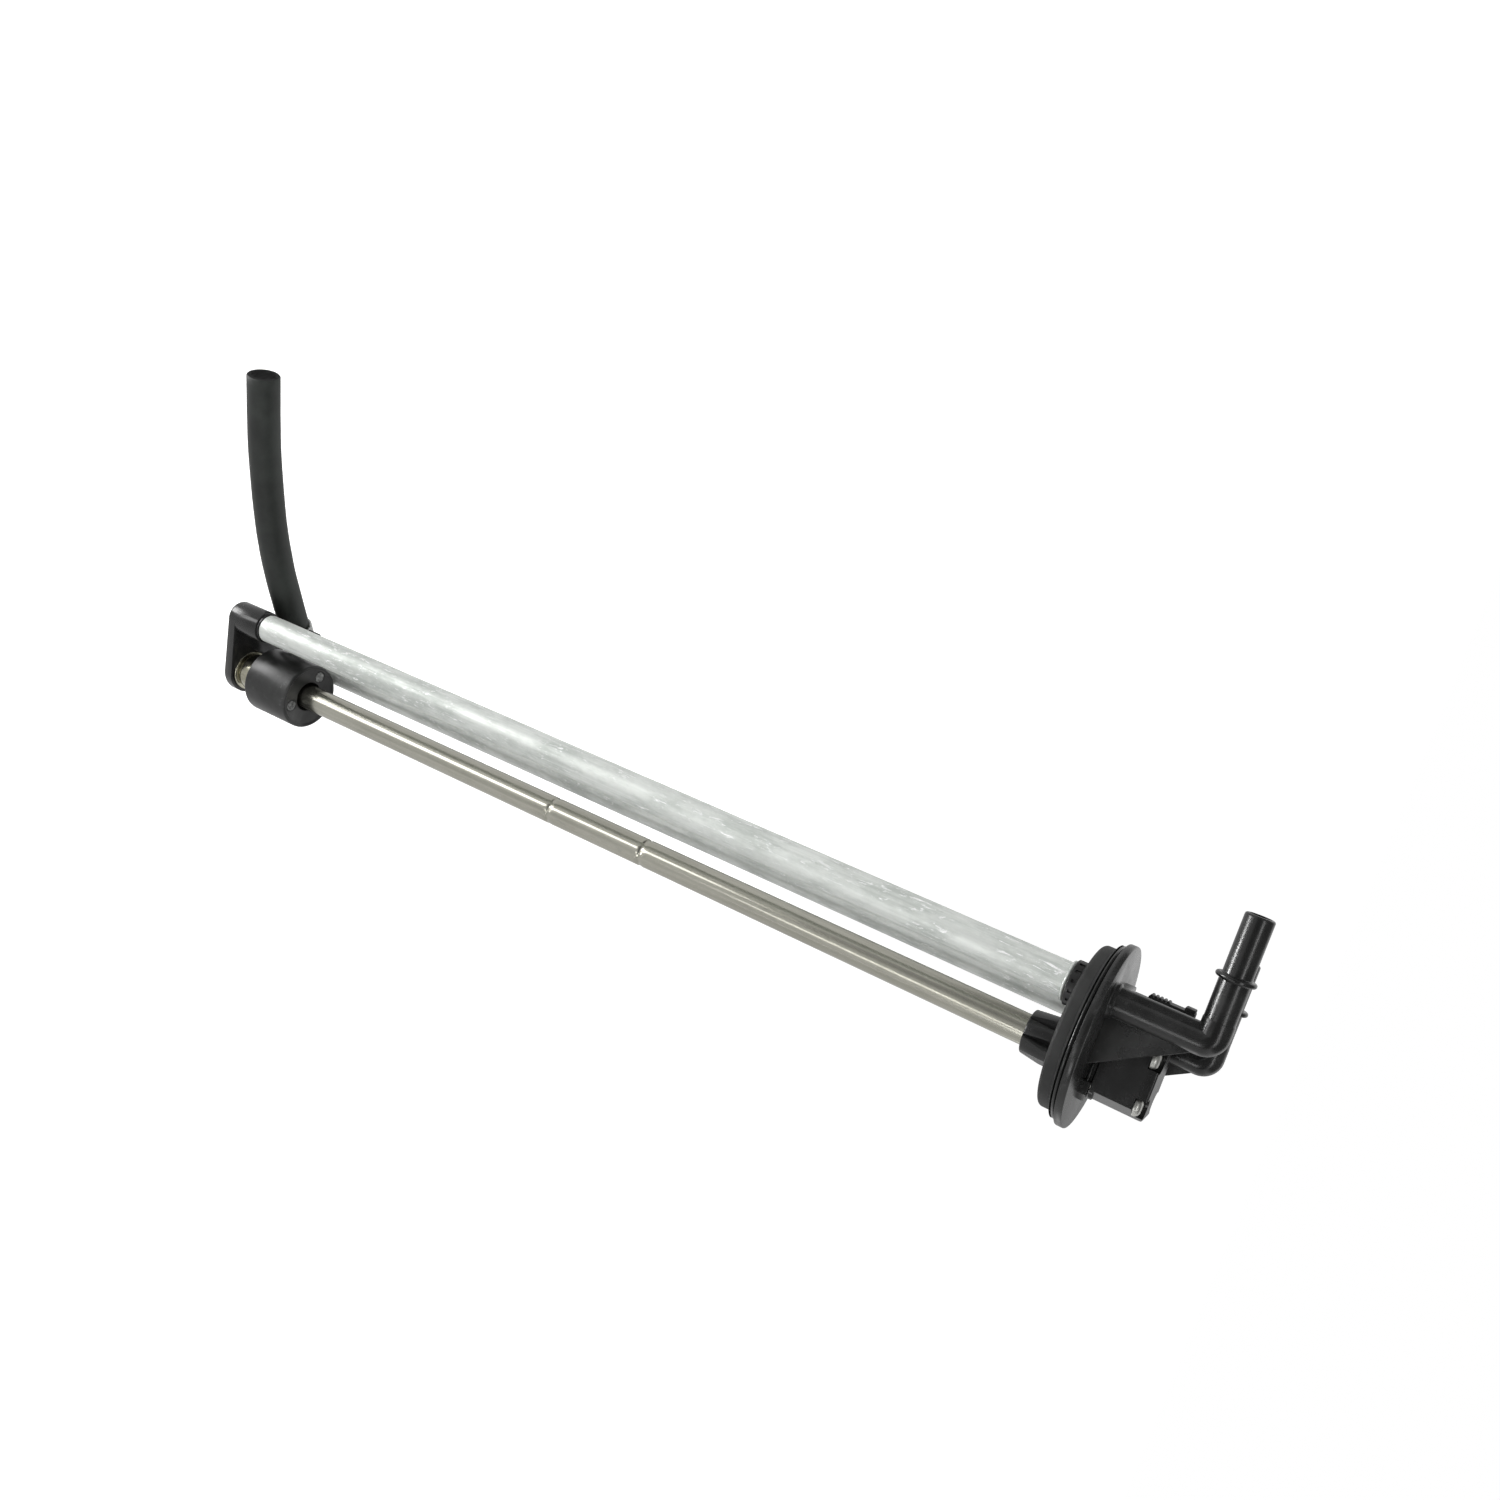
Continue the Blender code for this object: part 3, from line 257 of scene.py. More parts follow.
moulded("floatFoam", 0.010, 0.070, 0.40, 1.0, 0.34, grain=1600.0, bump=0.25, specular=0.36)
moulded("pottingResin", 0.018, 0.34, 0.55, 0.9, 0.38, grain=1500.0, bump=0.8, size=9.0)
moulded("hoseRubber", 0.010, 0.030, 0.5, 0.4, 0.50, grain=1500.0, bump=0.2, tint=(0.94, 1.10, 0.98),
        specular=0.35)
# A darker copy of the hose rubber for the hose's bore: painted shade inside the hose
moulded("boreRubber", 0.002, 0.006, 0.5, 0.4, 0.60, specular=0.15)
moulded("boardLacquer", 0.03, 0.06, 0.5, 0.2, 0.35, tint=(0.3, 1.6, 0.6))

# Color, tarnish, clouds, streaks, nicks, roughness and its spread of each metal
drawn("drawnAluminium", (0.66, 0.682, 0.655), (0.44, 0.465, 0.44), 0.85, 0.50, 0.9, 0.40, 0.22, bump=0.55,
      metallic=0.55, nick=0.92)
drawn("drawnAluminiumDull", (0.62, 0.637, 0.615), (0.42, 0.44, 0.42), 0.8, 0.45, 0.7, 0.42, 0.20, bump=0.4,
      metallic=0.55, nick=0.85)
drawn("drawnSteel", (0.46, 0.452, 0.395), (0.34, 0.335, 0.28), 0.35, 0.5, 0.3, 0.19, 0.12, bump=0.012)
drawn("turnedSteel", (0.45, 0.435, 0.355), (0.20, 0.19, 0.13), 0.7, 0.1, 0.3, 0.12, 0.2, bump=0.08)
drawn("zincPlate", (0.60, 0.60, 0.57), (0.42, 0.42, 0.39), 0.5, 0.1, 0.4, 0.42, 0.2)
drawn("clampSteel", (0.48, 0.49, 0.48), (0.28, 0.28, 0.27), 0.5, 0.3, 0.5, 0.22, 0.2)
# Near black copy of the clamp steel: painted shade on the clamp's ear
drawn("clampEarDark", (0.05, 0.05, 0.05), (0.02, 0.02, 0.02), 0.5, 0.3, 0.3, 0.35, 0.2)
drawn("tinnedPin", (0.72, 0.69, 0.60), (0.5, 0.46, 0.36), 0.5, 0.2, 0.2, 0.25, 0.2)
drawn("magnetNickel", (0.5, 0.5, 0.5), (0.3, 0.3, 0.3), 0.5, 0.1, 0.4, 0.35, 0.2)
print("finishes made")


# Points along an arc from one angle to another in degrees, round a centre
def arc(x, y, size, start, end, steps, rise=None):
    angles = [math.radians(start + (end - start) * step / steps) for step in range(steps + 1)]
    return [(x + size * math.cos(angle), y + (rise or size) * math.sin(angle)) for angle in angles]


# A lower corner, or with way -1 an upper one, cut back in two steps
def eased(x, y, size, way=1):
    return [(x - size, y), (x - 0.3 * size, y + way * 0.3 * size), (x, y + way * size)][::way]


def closedUp(bm):
    bmesh.ops.recalc_face_normals(bm, faces=bm.faces)
    return bm


def spun(outline, sides, closed=True):
    bm = bmesh.new()
    verts = [bm.verts.new((radius, 0, height)) for radius, height in outline]
    edges = [bm.edges.new(pair) for pair in zip(verts, verts[1:])]
    if closed:
        edges.append(bm.edges.new((verts[-1], verts[0])))
    bmesh.ops.spin(bm, geom=verts + edges, cent=(0, 0, 0), axis=up, angle=math.tau, steps=sides,
                   use_merge=True)
    bmesh.ops.remove_doubles(bm, verts=bm.verts, dist=tiny)
    return closedUp(bm)


softEdge = {"sharpest": math.radians(35), "segments": 2}


def softened(bm, width):
    if width:
        sharp = [edge for edge in bm.edges
                 if edge.is_manifold and edge.calc_face_angle(0) > softEdge["sharpest"]]
        bmesh.ops.bevel(bm, geom=sharp, offset=width, segments=softEdge["segments"], profile=0.5,
                        affect="EDGES", material=-1, clamp_overlap=True)
    return bm


def placed(bm, move=(0, 0, 0), turn=None):
    matrix = Matrix.Translation(move)
    if turn:
        matrix = matrix @ turn
    bmesh.ops.transform(bm, matrix=matrix, verts=bm.verts)
    return bm


def slab(low, high, width=0.0):
    low, high = Vector(low), Vector(high)
    bm = bmesh.new()
    bmesh.ops.create_cube(bm, size=1.0, matrix=Matrix.Translation((low + high) / 2)
                          @ Matrix.Diagonal((*(high - low), 1.0)))
    return softened(bm, width)


def rod(radius, low, high, sides=32, place=(0, 0), width=0.0, topRadius=None):
    bm = bmesh.new()
    bmesh.ops.create_cone(bm, cap_ends=True, segments=sides, radius1=radius, radius2=topRadius or radius,
                          depth=high - low, matrix=Matrix.Translation((place[0], place[1], (low + high) / 2)))
    return softened(bm, width)


# Pushes a face outwards into a block
def raised(bm, faces, height):
    grown = bmesh.ops.extrude_face_region(bm, geom=faces)["geom"]
    bmesh.ops.translate(bm, verts=[part for part in grown if isinstance(part, bmesh.types.BMVert)],
                        vec=(0, 0, height))
    return [part for part in grown if isinstance(part, bmesh.types.BMFace)]


def plate(outline, low, high, width=0.0):
    bm = bmesh.new()
    raised(bm, [bm.faces.new([bm.verts.new((x, y, low)) for x, y in outline])], high - low)
    return softened(closedUp(bm), width)


def roundedBox(low, high, corner, steps=6):
    left, near = (value + corner for value in low)
    right, far = (value - corner for value in high)
    return (arc(right, far, corner, 0, 90, steps) + arc(left, far, corner, 90, 180, steps)
            + arc(left, near, corner, 180, 270, steps) + arc(right, near, corner, 270, 360, steps))


# Two opposite corners of a piece's outline, moved inwards
def inset(facts, x, y):
    return (facts["low"][0] + x, facts["low"][1] + y), (facts["high"][0] - x, facts["high"][1] - y)


def capped(bm):
    bmesh.ops.holes_fill(bm, edges=[edge for edge in bm.edges if edge.is_boundary], sides=0)
    return closedUp(bm)


# Cuts away what lies beyond a plane and closes the face
def trimmed(bm, point, normal):
    bmesh.ops.bisect_plane(bm, geom=bm.verts[:] + bm.edges[:] + bm.faces[:], plane_co=point, plane_no=normal,
                           clear_outer=True)
    return capped(bm)


def ring(bm, radius, matrix, sides):
    made = bmesh.ops.create_circle(bm, segments=sides, radius=radius, matrix=matrix)
    return list({edge for vert in made["verts"] for edge in vert.link_edges})


# The convex skin over a set of circles
def hulled(circles, sides):
    bm = bmesh.new()
    for matrix, radius in circles:
        ring(bm, radius, matrix, sides)
    bmesh.ops.convex_hull(bm, input=bm.verts)
    bmesh.ops.delete(bm, geom=[vert for vert in bm.verts if not vert.link_faces], context="VERTS")
    return bm


# A tube wall: circles joined one to the next and back to the first. Each has its point, side, way and radius.
def bridged(circles, sides):
    bm = bmesh.new()
    loops = []
    for point, side, way, radius in circles:
        turn = Matrix((side, way.cross(side), way)).transposed().to_4x4()
        loops.append(ring(bm, radius, Matrix.Translation(point) @ turn, sides))
    for first, second in zip(loops, loops[1:] + loops[:1]):
        bmesh.ops.bridge_loops(bm, edges=first + second)
    return closedUp(bm)


def looseObject(bm, name="part"):
    mesh = bpy.data.meshes.new(name)
    bm.to_mesh(mesh)
    bm.free()
    item = bpy.data.objects.new(name, mesh)
    bpy.context.scene.collection.objects.link(item)
    return item


# One closed mesh from a base, what is joined to it and what is cut from it
def fused(base, joins=(), cuts=()):
    item = looseObject(base)
    others = [(looseObject(bm), "UNION") for bm in joins] + [(looseObject(bm), "DIFFERENCE") for bm in cuts]
    for other, operation in others:
        step = item.modifiers.new(operation, "BOOLEAN")
        step.operation = operation
        step.solver = "EXACT"
        step.object = other
    bpy.context.view_layer.update()
    whole = item.evaluated_get(bpy.context.evaluated_depsgraph_get())
    bm = bmesh.new()
    bm.from_mesh(whole.to_mesh())
    for used, operation in others + [(item, "")]:
        bpy.data.objects.remove(used)
    bmesh.ops.remove_doubles(bm, verts=bm.verts, dist=tiny)
    return bm


def piece(name, bm, surfaces, nodes, body=senderBody, limit=32):
    item = looseObject(bm, name)
    item.data.shade_smooth()
    item.data.set_sharp_from_angle(angle=math.radians(limit))
    for surface in surfaces:
        item.data.materials.append(bpy.data.materials[surface])
    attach(item, body)
    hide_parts(*nodes)
    return item


# The return hose: one open rubber tube from the bent end of the return tube outwards
returnHose = inMm(radius=7.2, bore=5.15, height=-431.0, bend=13.0, overlap=14.0, lip=0.5) | {
    "heading": math.radians(39.0), "lead": 0.6, "sides": 40, "steps": 34,
    "waves": ((90, 0.10 * mm), (260, 0.05 * mm)),
    "route": (
        Vector((0.0456, 0.0140, -0.4303)),
        Vector((0.0657, 0.0286, -0.4284)),
        Vector((0.0924, 0.0452, -0.4254)),
        Vector((0.1092, 0.0546, -0.4232)),
        Vector((0.1277, 0.0644, -0.4206)),
    ),
}
hoseWay = Vector((math.cos(returnHose["heading"]), math.sin(returnHose["heading"]), 0))
hoseDrop = Vector((0, 0, returnHose["height"]))


# A Catmull-Rom curve through the points
def smoothRoute(points, count):
    ends = [2 * points[0] - points[1]] + list(points) + [2 * points[-1] - points[-2]]
    route = []
    for index in range(count):
        place = index * (len(points) - 1) / (count - 1)
        span = min(int(place), len(points) - 2)
        t = place - span
        before, start, end, after = ends[span:span + 4]
        route.append(0.5 * (2 * start + (end - before) * t
                            + (2 * before - 5 * start + 4 * end - after) * t ** 2
                            + (3 * start - 3 * end + after - before) * t ** 3))
    return route


def makeHose(facts):
    radius, lip = facts["radius"], facts["lip"]
    start = returnPipe + hoseDrop + facts["bend"] * hoseWay
    middle = start + facts["overlap"] * hoseWay
    lead = middle + facts["lead"] * facts["overlap"] * hoseWay
    route = smoothRoute((start, middle, lead) + facts["route"], facts["steps"])
    ways = [(after - before).normalized()
            for before, after in zip([route[0]] + route, route[1:] + [route[-1]])]
    outside = []
    for point, way in zip(route, ways):
        swell = sum(depth * noise.noise(point * scale) for scale, depth in facts["waves"])
        outside.append((point, way, radius + swell - (lip if point in (route[0], route[-1]) else 0)))
    outside.insert(1, (route[0] + lip * ways[0], ways[0], radius))
    outside.insert(-1, (route[-1] - lip * ways[-1], ways[-1], radius))
    inside = [(point, way, facts["bore"]) for point, way in zip(route, ways)][::-1]
    bm = bridged([(point, up.cross(way).normalized(), way, size) for point, way, size in outside + inside],
                 facts["sides"])
    # Faces inside the bore take the darker copy of the rubber, a painted shade
    for face in bm.faces:
        away = min((point - face.calc_center_median()).length for point in route)
        face.material_index = int(away < radius - 2 * lip)
    hose = piece("openReturnHose", bm, ("hoseRubber", "boreRubber"), ("return_hose", "return_hose_sleeve"),
                 limit=50)


makeHose(returnHose)
print("hose made")

# Head: one moulding with its plate, plug, plinth, pipes, nipples and gussets
head = inMm(plateRadius=34.8, plateThickness=3.2, plateEdge=0.5, plugRadius=28.8, plugDepth=7.9,
            plugEdge=0.8, plinthHeight=3.0, plinthInset=1.5, plinthCorner=2.0, plinthEdge=0.2,
            footMargin=2.0, footRise=0.5, footReach=4.4, footCorner=1.0, footSlant=3.6, footEdge=0.25,
            footStep=0.01, railRadius=0.55, railLength=7.0, railEdge=0.2, postRadius=1.2, postSpread=6.1,
            postHeight=3.0, socketRoof=-0.6, stripHole=2.0, screwDepth=7.5, screwRadius=1.5,
            gussetThickness=1.6, gussetReach=18.5, gussetTop=33.3, gussetEdge=0.3, gussetRoot=1.5) | {
    "sides": 128, "pipeSides": 48, "boreSides": 32, "socketSides": 48, "holeSides": 20, "stripSides": 24,
    "thinSides": 16}
pipes = (
    inMm(radius=5.6, height=38.1, nipple=5.14, start=24.3, bead=39.5, end=62.1, bore=3.7) | {
        "axis": Vector((16.2 * mm, 12.8 * mm, 0))},
    inMm(radius=5.1, height=37.2, nipple=4.75, start=11.0, bead=24.6, end=42.7, bore=3.2) | {
        "axis": returnPipe},
)
pipeShape = inMm(bend=3.0, footHeight=1.8, footRise=0.8, fillet=0.7, shoulder=0.26, beadRise=1.9,
                 beadWidth=1.9, beadMargin=0.2, tip=0.9, ease=0.3, footEase=0.2, footSink=0.05,
                 crossEdge=0.25, buried=0.8) | {
    "steps": 14, "boreSteps": 10, "filletSteps": 4, "beadSteps": 8, "tipSteps": 5}
cover = inMm(low=(-20.6, -12.0), high=(7.0, 10.0), top=26.2, wall=1.8, corner=3.6, edge=1.0,
             screwInset=(5.0, 2.4), boreRadius=4.0, boreDepth=4.1, screwHole=1.8, screwBlock=4.8,
             seat=0.6, gasketInset=0.9, slant=(3.9, 5.6), slantFoot=1.2, slantSize=10) | {
    "edgeSteps": 4, "boreSides": 40, "holeSides": 20}
shell = inMm(low=(8.6, -13.2), high=(18.3, 5.2), top=28.0, wall=1.3, floor=2.5, corner=2.4, edge=0.25,
             reach=2.3, width=6.0, latchLow=12.4, latchTop=29.0, latchEdge=0.3, nubReach=1.3,
             nubHeight=3.9, nubInset=0.4, nubDrop=0.2, gripPitch=1.5, gripRadius=0.62, gripEdge=0.15,
             pinPitch=2.3, pinWidth=0.7, pinThickness=0.8) | {
    "grips": 5, "gripSides": 14, "gripStart": 0.6, "gripReach": 0.45, "pins": 3}
plinthTop = head["plateThickness"] + head["plinthHeight"]


def screwSpots():
    (left, near), (right, far) = inset(cover, *cover["screwInset"])
    return ((left, near), (right, near), (left, far), (right, far))


# The elbow's outside is the hull of its sections, so its heel is tight and its inner corner is sharp
def elbow(pipe, shape, foot):
    bend, ease, fillet = shape["bend"], shape["ease"], shape["fillet"]
    radius, sides, base = pipe["radius"], head["pipeSides"], head["plateThickness"]
    rise = pipe["height"] - bend
    root = radius + shape["footRise"]
    footTop = base + shape["footHeight"]
    sections = []
    for step in range(shape["steps"] + 1):
        turn = Matrix.Rotation(quarter * step / shape["steps"], 4, "Y") @ Matrix.Translation((-bend, 0, 0))
        sections.append((Matrix.Translation((bend, 0, rise)) @ turn, radius))
    outline = [(0, foot), (root + fillet, foot), (root + fillet, base - shape["footSink"]),
               *arc(root + fillet, base + fillet, fillet, 270, 180, shape["filletSteps"]),
               (root, footTop - ease), (root - ease, footTop), (radius + shape["footEase"], footTop),
               (radius, footTop + ease), (radius, rise + ease), (0, rise + ease)]
    across = rod(radius, bend - ease, pipe["start"] - pipe["axis"].x, sides, width=shape["crossEdge"])
    placed(across, (0, 0, pipe["height"]), turnY)
    return [placed(part, pipe["axis"])
            for part in (hulled(sections, sides), spun(outline, sides, closed=False), across)]


def nippleOf(pipe, shape):
    radius, bead, end = pipe["nipple"], pipe["bead"], pipe["end"]
    ease, tip, half = shape["ease"], shape["tip"], shape["beadWidth"] / 2
    root = radius + shape["shoulder"]
    start = pipe["start"] - shape["buried"]
    outline = [(0, start), (root, start), (root, bead - half - ease), (root + ease, bead - half),
               *arc(radius + shape["beadRise"] - half, bead, half, -90, 90, shape["beadSteps"]),
               (radius + ease, bead + half), (radius, bead + half + ease),
               *arc(radius - tip, end - tip, tip, 0, 90, shape["tipSteps"]), (0, end)]
    return placed(spun(outline, head["pipeSides"], closed=False), (0, pipe["axis"].y, pipe["height"]), turnY)


def gussetOf(pipe, facts):
    side = pipe["axis"].x - pipe["radius"]
    base, root, top = facts["plateThickness"], facts["gussetRoot"], facts["gussetTop"]
    far = side - facts["gussetReach"]
    outline = ((side + root, base - root), (far, base - root), (far, base), (side, top), (side + root, top))
    half = facts["gussetThickness"] / 2
    return placed(plate(outline, -half, half, facts["gussetEdge"]), (0, pipe["axis"].y, 0), turnX)


def pulled(bm, edges, travel):
    grown = bmesh.ops.extrude_edge_only(bm, edges=edges)["geom"]
    moved = {part for part in grown if isinstance(part, bmesh.types.BMVert)}
    bmesh.ops.translate(bm, verts=list(moved), vec=travel)
    return [part for part in grown if isinstance(part, bmesh.types.BMEdge) and set(part.verts) <= moved]


# The bore follows the pipe with its own tight bend
def boreOf(pipe, low, end):
    bend = pipe["bore"] + gap
    bm = bmesh.new()
    edges = ring(bm, pipe["bore"], Matrix.Translation((0, 0, low)), head["boreSides"])
    edges = pulled(bm, edges, (0, 0, pipe["height"] - bend - low))
    turned = bmesh.ops.spin(bm, geom=edges + list({vert for edge in edges for vert in edge.verts}),
                            cent=(bend, 0, pipe["height"] - bend), axis=(0, 1, 0), angle=quarter,
                            steps=pipeShape["boreSteps"])
    edges = [part for part in turned["geom_last"] if isinstance(part, bmesh.types.BMEdge)]
    pulled(bm, edges, (end - pipe["axis"].x - bend, 0, 0))
    return placed(capped(bm), pipe["axis"])


# The feet under the cover's corners. Each top is a hair lower than the last, so that no two faces coincide.
def plinthFeet(facts, foot):
    feet = []
    reach, rise = facts["footReach"], facts["footRise"]
    for index, (x, y) in enumerate(screwSpots()):
        isLeft, isNear = index % 2 == 0, index < 2
        left = cover["low"][0] - facts["footMargin"] if isLeft else x - reach
        right = x + reach - 3 * facts["footCorner"] if isLeft else cover["high"][0] + rise
        near = cover["low"][1] - rise if isNear else y - reach
        far = y + reach if isNear else cover["high"][1] + rise
        boss = plate(roundedBox((left, near), (right, far), facts["footCorner"], 4), foot,
                     plinthTop - facts["footStep"] * (index + 1), facts["footEdge"])
        if isLeft:
            across, back = cover["slant"]
            trimmed(boss, (left + facts["footSlant"], near if isNear else far, plinthTop),
                    (-back, -across if isNear else across, 0))
        feet.append(boss)
    return feet


# The rail at the foot of the cover and the two posts that carry the board
def plinthDetails(facts):
    length, radius = facts["railLength"], facts["railRadius"]
    rail = rod(radius, -0.5 * length, 0.5 * length, facts["thinSides"], width=facts["railEdge"])
    railX = pipes[0]["axis"].x - pipes[0]["radius"] - facts["gussetReach"] - 0.5 * length
    railY = cover["high"][1] - facts["plinthInset"] + 0.4 * radius
    placed(rail, (railX, railY, facts["plateThickness"] + facts["plinthHeight"] / 2), turnY)
    x, y = ((cover["low"][axis] + cover["high"][axis]) / 2 for axis in (0, 1))
    spread = facts["postSpread"]
    return [rail] + [rod(facts["postRadius"], plinthTop - beyond, plinthTop + facts["postHeight"],
                         facts["thinSides"], (x, y + side)) for side in (-spread, spread)]


# Bores, sockets for the three tubes, holes for the strip and the screws, and the ways in for the pins
def headCuts(facts):
    roof, top = facts["socketRoof"], plinthTop + beyond
    cuts = [boreOf(pipe, roof - beyond, pipe["end"] + beyond) for pipe in pipes]
    for name, axis in (("guide", guideAxis), ("suction", suctionAxis), ("return", returnPipe)):
        cuts.append(rod(tubeRadius[name] + gap, -facts["plugDepth"] - beyond, roof, facts["socketSides"],
                        axis))
    cuts.append(rod(facts["stripHole"], roof - beyond, top, facts["stripSides"], guideAxis))
    for spot in screwSpots():
        cuts.append(rod(facts["screwRadius"] + gap, plinthTop - facts["screwDepth"] - gap, top,
                        facts["holeSides"], spot))
    thick = shell["pinThickness"] + gap
    for index in range(1, shell["pins"] + 1):
        low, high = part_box(f"connector_pin_{index}")
        left, right, under = low.x - gap, high.x + gap, low.z - gap
        outline = ((left, under), (right, under), (right, top), (high.x - thick, top),
                   (high.x - thick, low.z + thick), (low.x + thick, low.z + thick), (low.x + thick, top),
                   (left, top))
        cuts.append(placed(plate(outline, -high.y - gap, -low.y + gap), turn=turnX))
    return cuts


def makeHead(facts):
    depth, thickness = facts["plugDepth"], facts["plateThickness"]
    outline = [(0, -depth), *eased(facts["plugRadius"], -depth, facts["plugEdge"]), (facts["plugRadius"], 0),
               *eased(facts["plateRadius"], 0, facts["plateEdge"]),
               *eased(facts["plateRadius"], thickness, facts["plateEdge"], -1), (0, thickness)]
    foot = thickness - beyond
    inward = facts["plinthInset"]
    low = (cover["low"][0] + inward, min(cover["low"][1], shell["low"][1] - inward) + inward)
    high = (shell["high"][0] + inward, cover["high"][1] - inward)
    joins = [plate(roundedBox(low, high, facts["plinthCorner"]), foot, plinthTop, facts["plinthEdge"])]
    joins += plinthFeet(facts, foot) + plinthDetails(facts)
    for pipe in pipes:
        joins += elbow(pipe, pipeShape, foot) + [gussetOf(pipe, facts), nippleOf(pipe, pipeShape)]
    bm = fused(spun(outline, facts["sides"], closed=False), joins, headCuts(facts))
    for face in bm.faces:
        middle = face.calc_center_median()
        for pipe in pipes:
            away = math.hypot(middle.y - pipe["axis"].y, middle.z - pipe["height"])
            reach = pipe["nipple"] + pipeShape["beadRise"] + pipeShape["beadMargin"]
            if middle.x > pipe["start"] and away < reach:
                face.material_index = 1
    piece("headMoulding", bm, ("headPlastic", "nipplePlastic"), ("head_flange",))


makeHead(head)
print("head made")

# Turned soft rings round the plug
gasket = inMm(radius=31.1, low=-8.1, corner=1.6, lipRadius=33.2, lipLow=-3.3, lipHigh=-2.2, neck=31.4,
              lipFoot=(0.2, 0.05), lipCone=(0.2, 0.25), lipEdge=0.1, ring=0.8) | {
    "sides": 128, "ringSides": 14, "cornerSteps": 6}


def makeGasket(facts):
    inner = head["plugRadius"] + gap
    radius, corner, lip, edge = facts["radius"], facts["corner"], facts["lipRadius"], facts["lipEdge"]
    low, lipLow, lipHigh = facts["low"], facts["lipLow"], facts["lipHigh"]
    (footReach, footRise), (coneReach, coneDrop) = facts["lipFoot"], facts["lipCone"]
    outline = [(inner, low), *arc(radius - corner, low + corner, corner, 270, 360, facts["cornerSteps"]),
               (radius, lipLow), (radius + footReach, lipLow + footRise),
               (lip - coneReach, lipHigh - coneDrop), (lip, lipHigh - edge), (lip - edge, lipHigh),
               (facts["neck"], lipHigh), (facts["neck"], -gap), (inner, -gap)]
    piece("plugGasket", spun(outline, facts["sides"]), ("gasketRubber",), ("flange_gasket",))


def makeSealRing(facts):
    height = facts["lipHigh"] / 2
    half = min(facts["ring"], -height - gap)
    outline = arc(facts["neck"] + gap + facts["ring"], height, half, 0, 360, facts["ringSides"])[:-1]
    piece("rimSeal", spun(outline, facts["sides"]), ("sealRubber",), ("seal_ring",), limit=60)


makeGasket(gasket)
makeSealRing(gasket)
print("gaskets made")


def makeCover(facts):
    low, top, wall = plinthTop + facts["seat"], facts["top"], facts["wall"]
    body = plate(roundedBox(facts["low"], facts["high"], facts["corner"], 8), low, top)
    rim = [edge for edge in body.edges if all(vert.co.z > top - tiny for vert in edge.verts)]
    bmesh.ops.bevel(body, geom=rim, offset=facts["edge"], segments=facts["edgeSteps"], profile=0.5,
                    affect="EDGES", material=-1)
    (left, near), (right, far) = inset(facts, wall, wall)
    (leftPost, nearPost), (rightPost, farPost) = inset(
        facts, *(value + facts["screwBlock"] for value in facts["screwInset"]))
    room = ((leftPost, near), (rightPost, near), (rightPost, nearPost), (right, nearPost), (right, farPost),
            (rightPost, farPost), (rightPost, far), (leftPost, far), (leftPost, farPost), (left, farPost),
            (left, nearPost), (leftPost, nearPost))
    rebate = facts["gasketInset"] - gap
    cuts = [plate(roundedBox(*inset(facts, rebate, rebate), facts["corner"] - rebate), low - beyond,
                  low + facts["seat"]),
            plate(room, low - beyond, top - wall)]
    across, back = facts["slant"]
    size = facts["slantSize"]
    for way, y in ((1, facts["high"][1]), (-1, facts["low"][1])):
        corner = slab((0, -size, low + facts["slantFoot"]), (0.8 * size, size, top + beyond))
        turn = Matrix.Rotation(math.atan2(way * across, -back), 4, "Z")
        cuts.append(placed(corner, (facts["low"][0] + across, y, 0), turn))
    floor = top - facts["boreDepth"]
    for spot in screwSpots():
        cuts.append(rod(facts["boreRadius"], floor, top + beyond, facts["boreSides"], spot))
        cuts.append(rod(facts["screwHole"], low - beyond, floor + beyond, facts["holeSides"], spot))
    piece("coverHood", fused(body, cuts=cuts), ("coverPlastic",), ("sensor_cover",))


screw = inMm(head=3.4, headHeight=2.6, shank=1.5, depth=7.5, slot=0.7, slotReach=1.5, slotDepth=0.9,
             washer=0.5, edge=0.1) | {
    "crown": 0.6, "crownSteps": 8, "sides": 36, "firstTurn": 25, "nextTurn": 31}


def makeScrew(number, spot, facts):
    low = cover["top"] - cover["boreDepth"] + gap
    end = plinthTop - facts["depth"]
    wide, shank, edge, washer = facts["head"], facts["shank"], facts["edge"], facts["washer"]
    outline = [(0, end), (0.5 * shank, end), (shank, end + shank), (shank, low), (wide - edge, low),
               (wide, low + edge), (wide, low + washer)]
    for step in range(1, facts["crownSteps"]):
        angle = quarter * step / facts["crownSteps"]
        outline.append((wide * math.cos(angle) ** facts["crown"],
                        low + washer + (facts["headHeight"] - washer) * math.sin(angle)))
    top = low + facts["headHeight"]
    body = placed(spun(outline + [(0, top)], facts["sides"], closed=False), (*spot, 0))
    turn = Matrix.Rotation(math.radians(facts["firstTurn"] + facts["nextTurn"] * number), 4, "Z")
    reach, half = facts["slotReach"], facts["slot"] / 2
    cuts = [placed(slab((-x, -y, -facts["slotDepth"]), (x, y, beyond)), (*spot, top), turn)
            for x, y in ((reach, half), (half, reach))]
    piece(f"hoodScrew{number}", fused(body, cuts=cuts), ("zincPlate",), (f"cover_screw_{number}",))


makeCover(cover)
for number, spot in enumerate(screwSpots(), 1):
    makeScrew(number, spot, screw)
print("cover made")


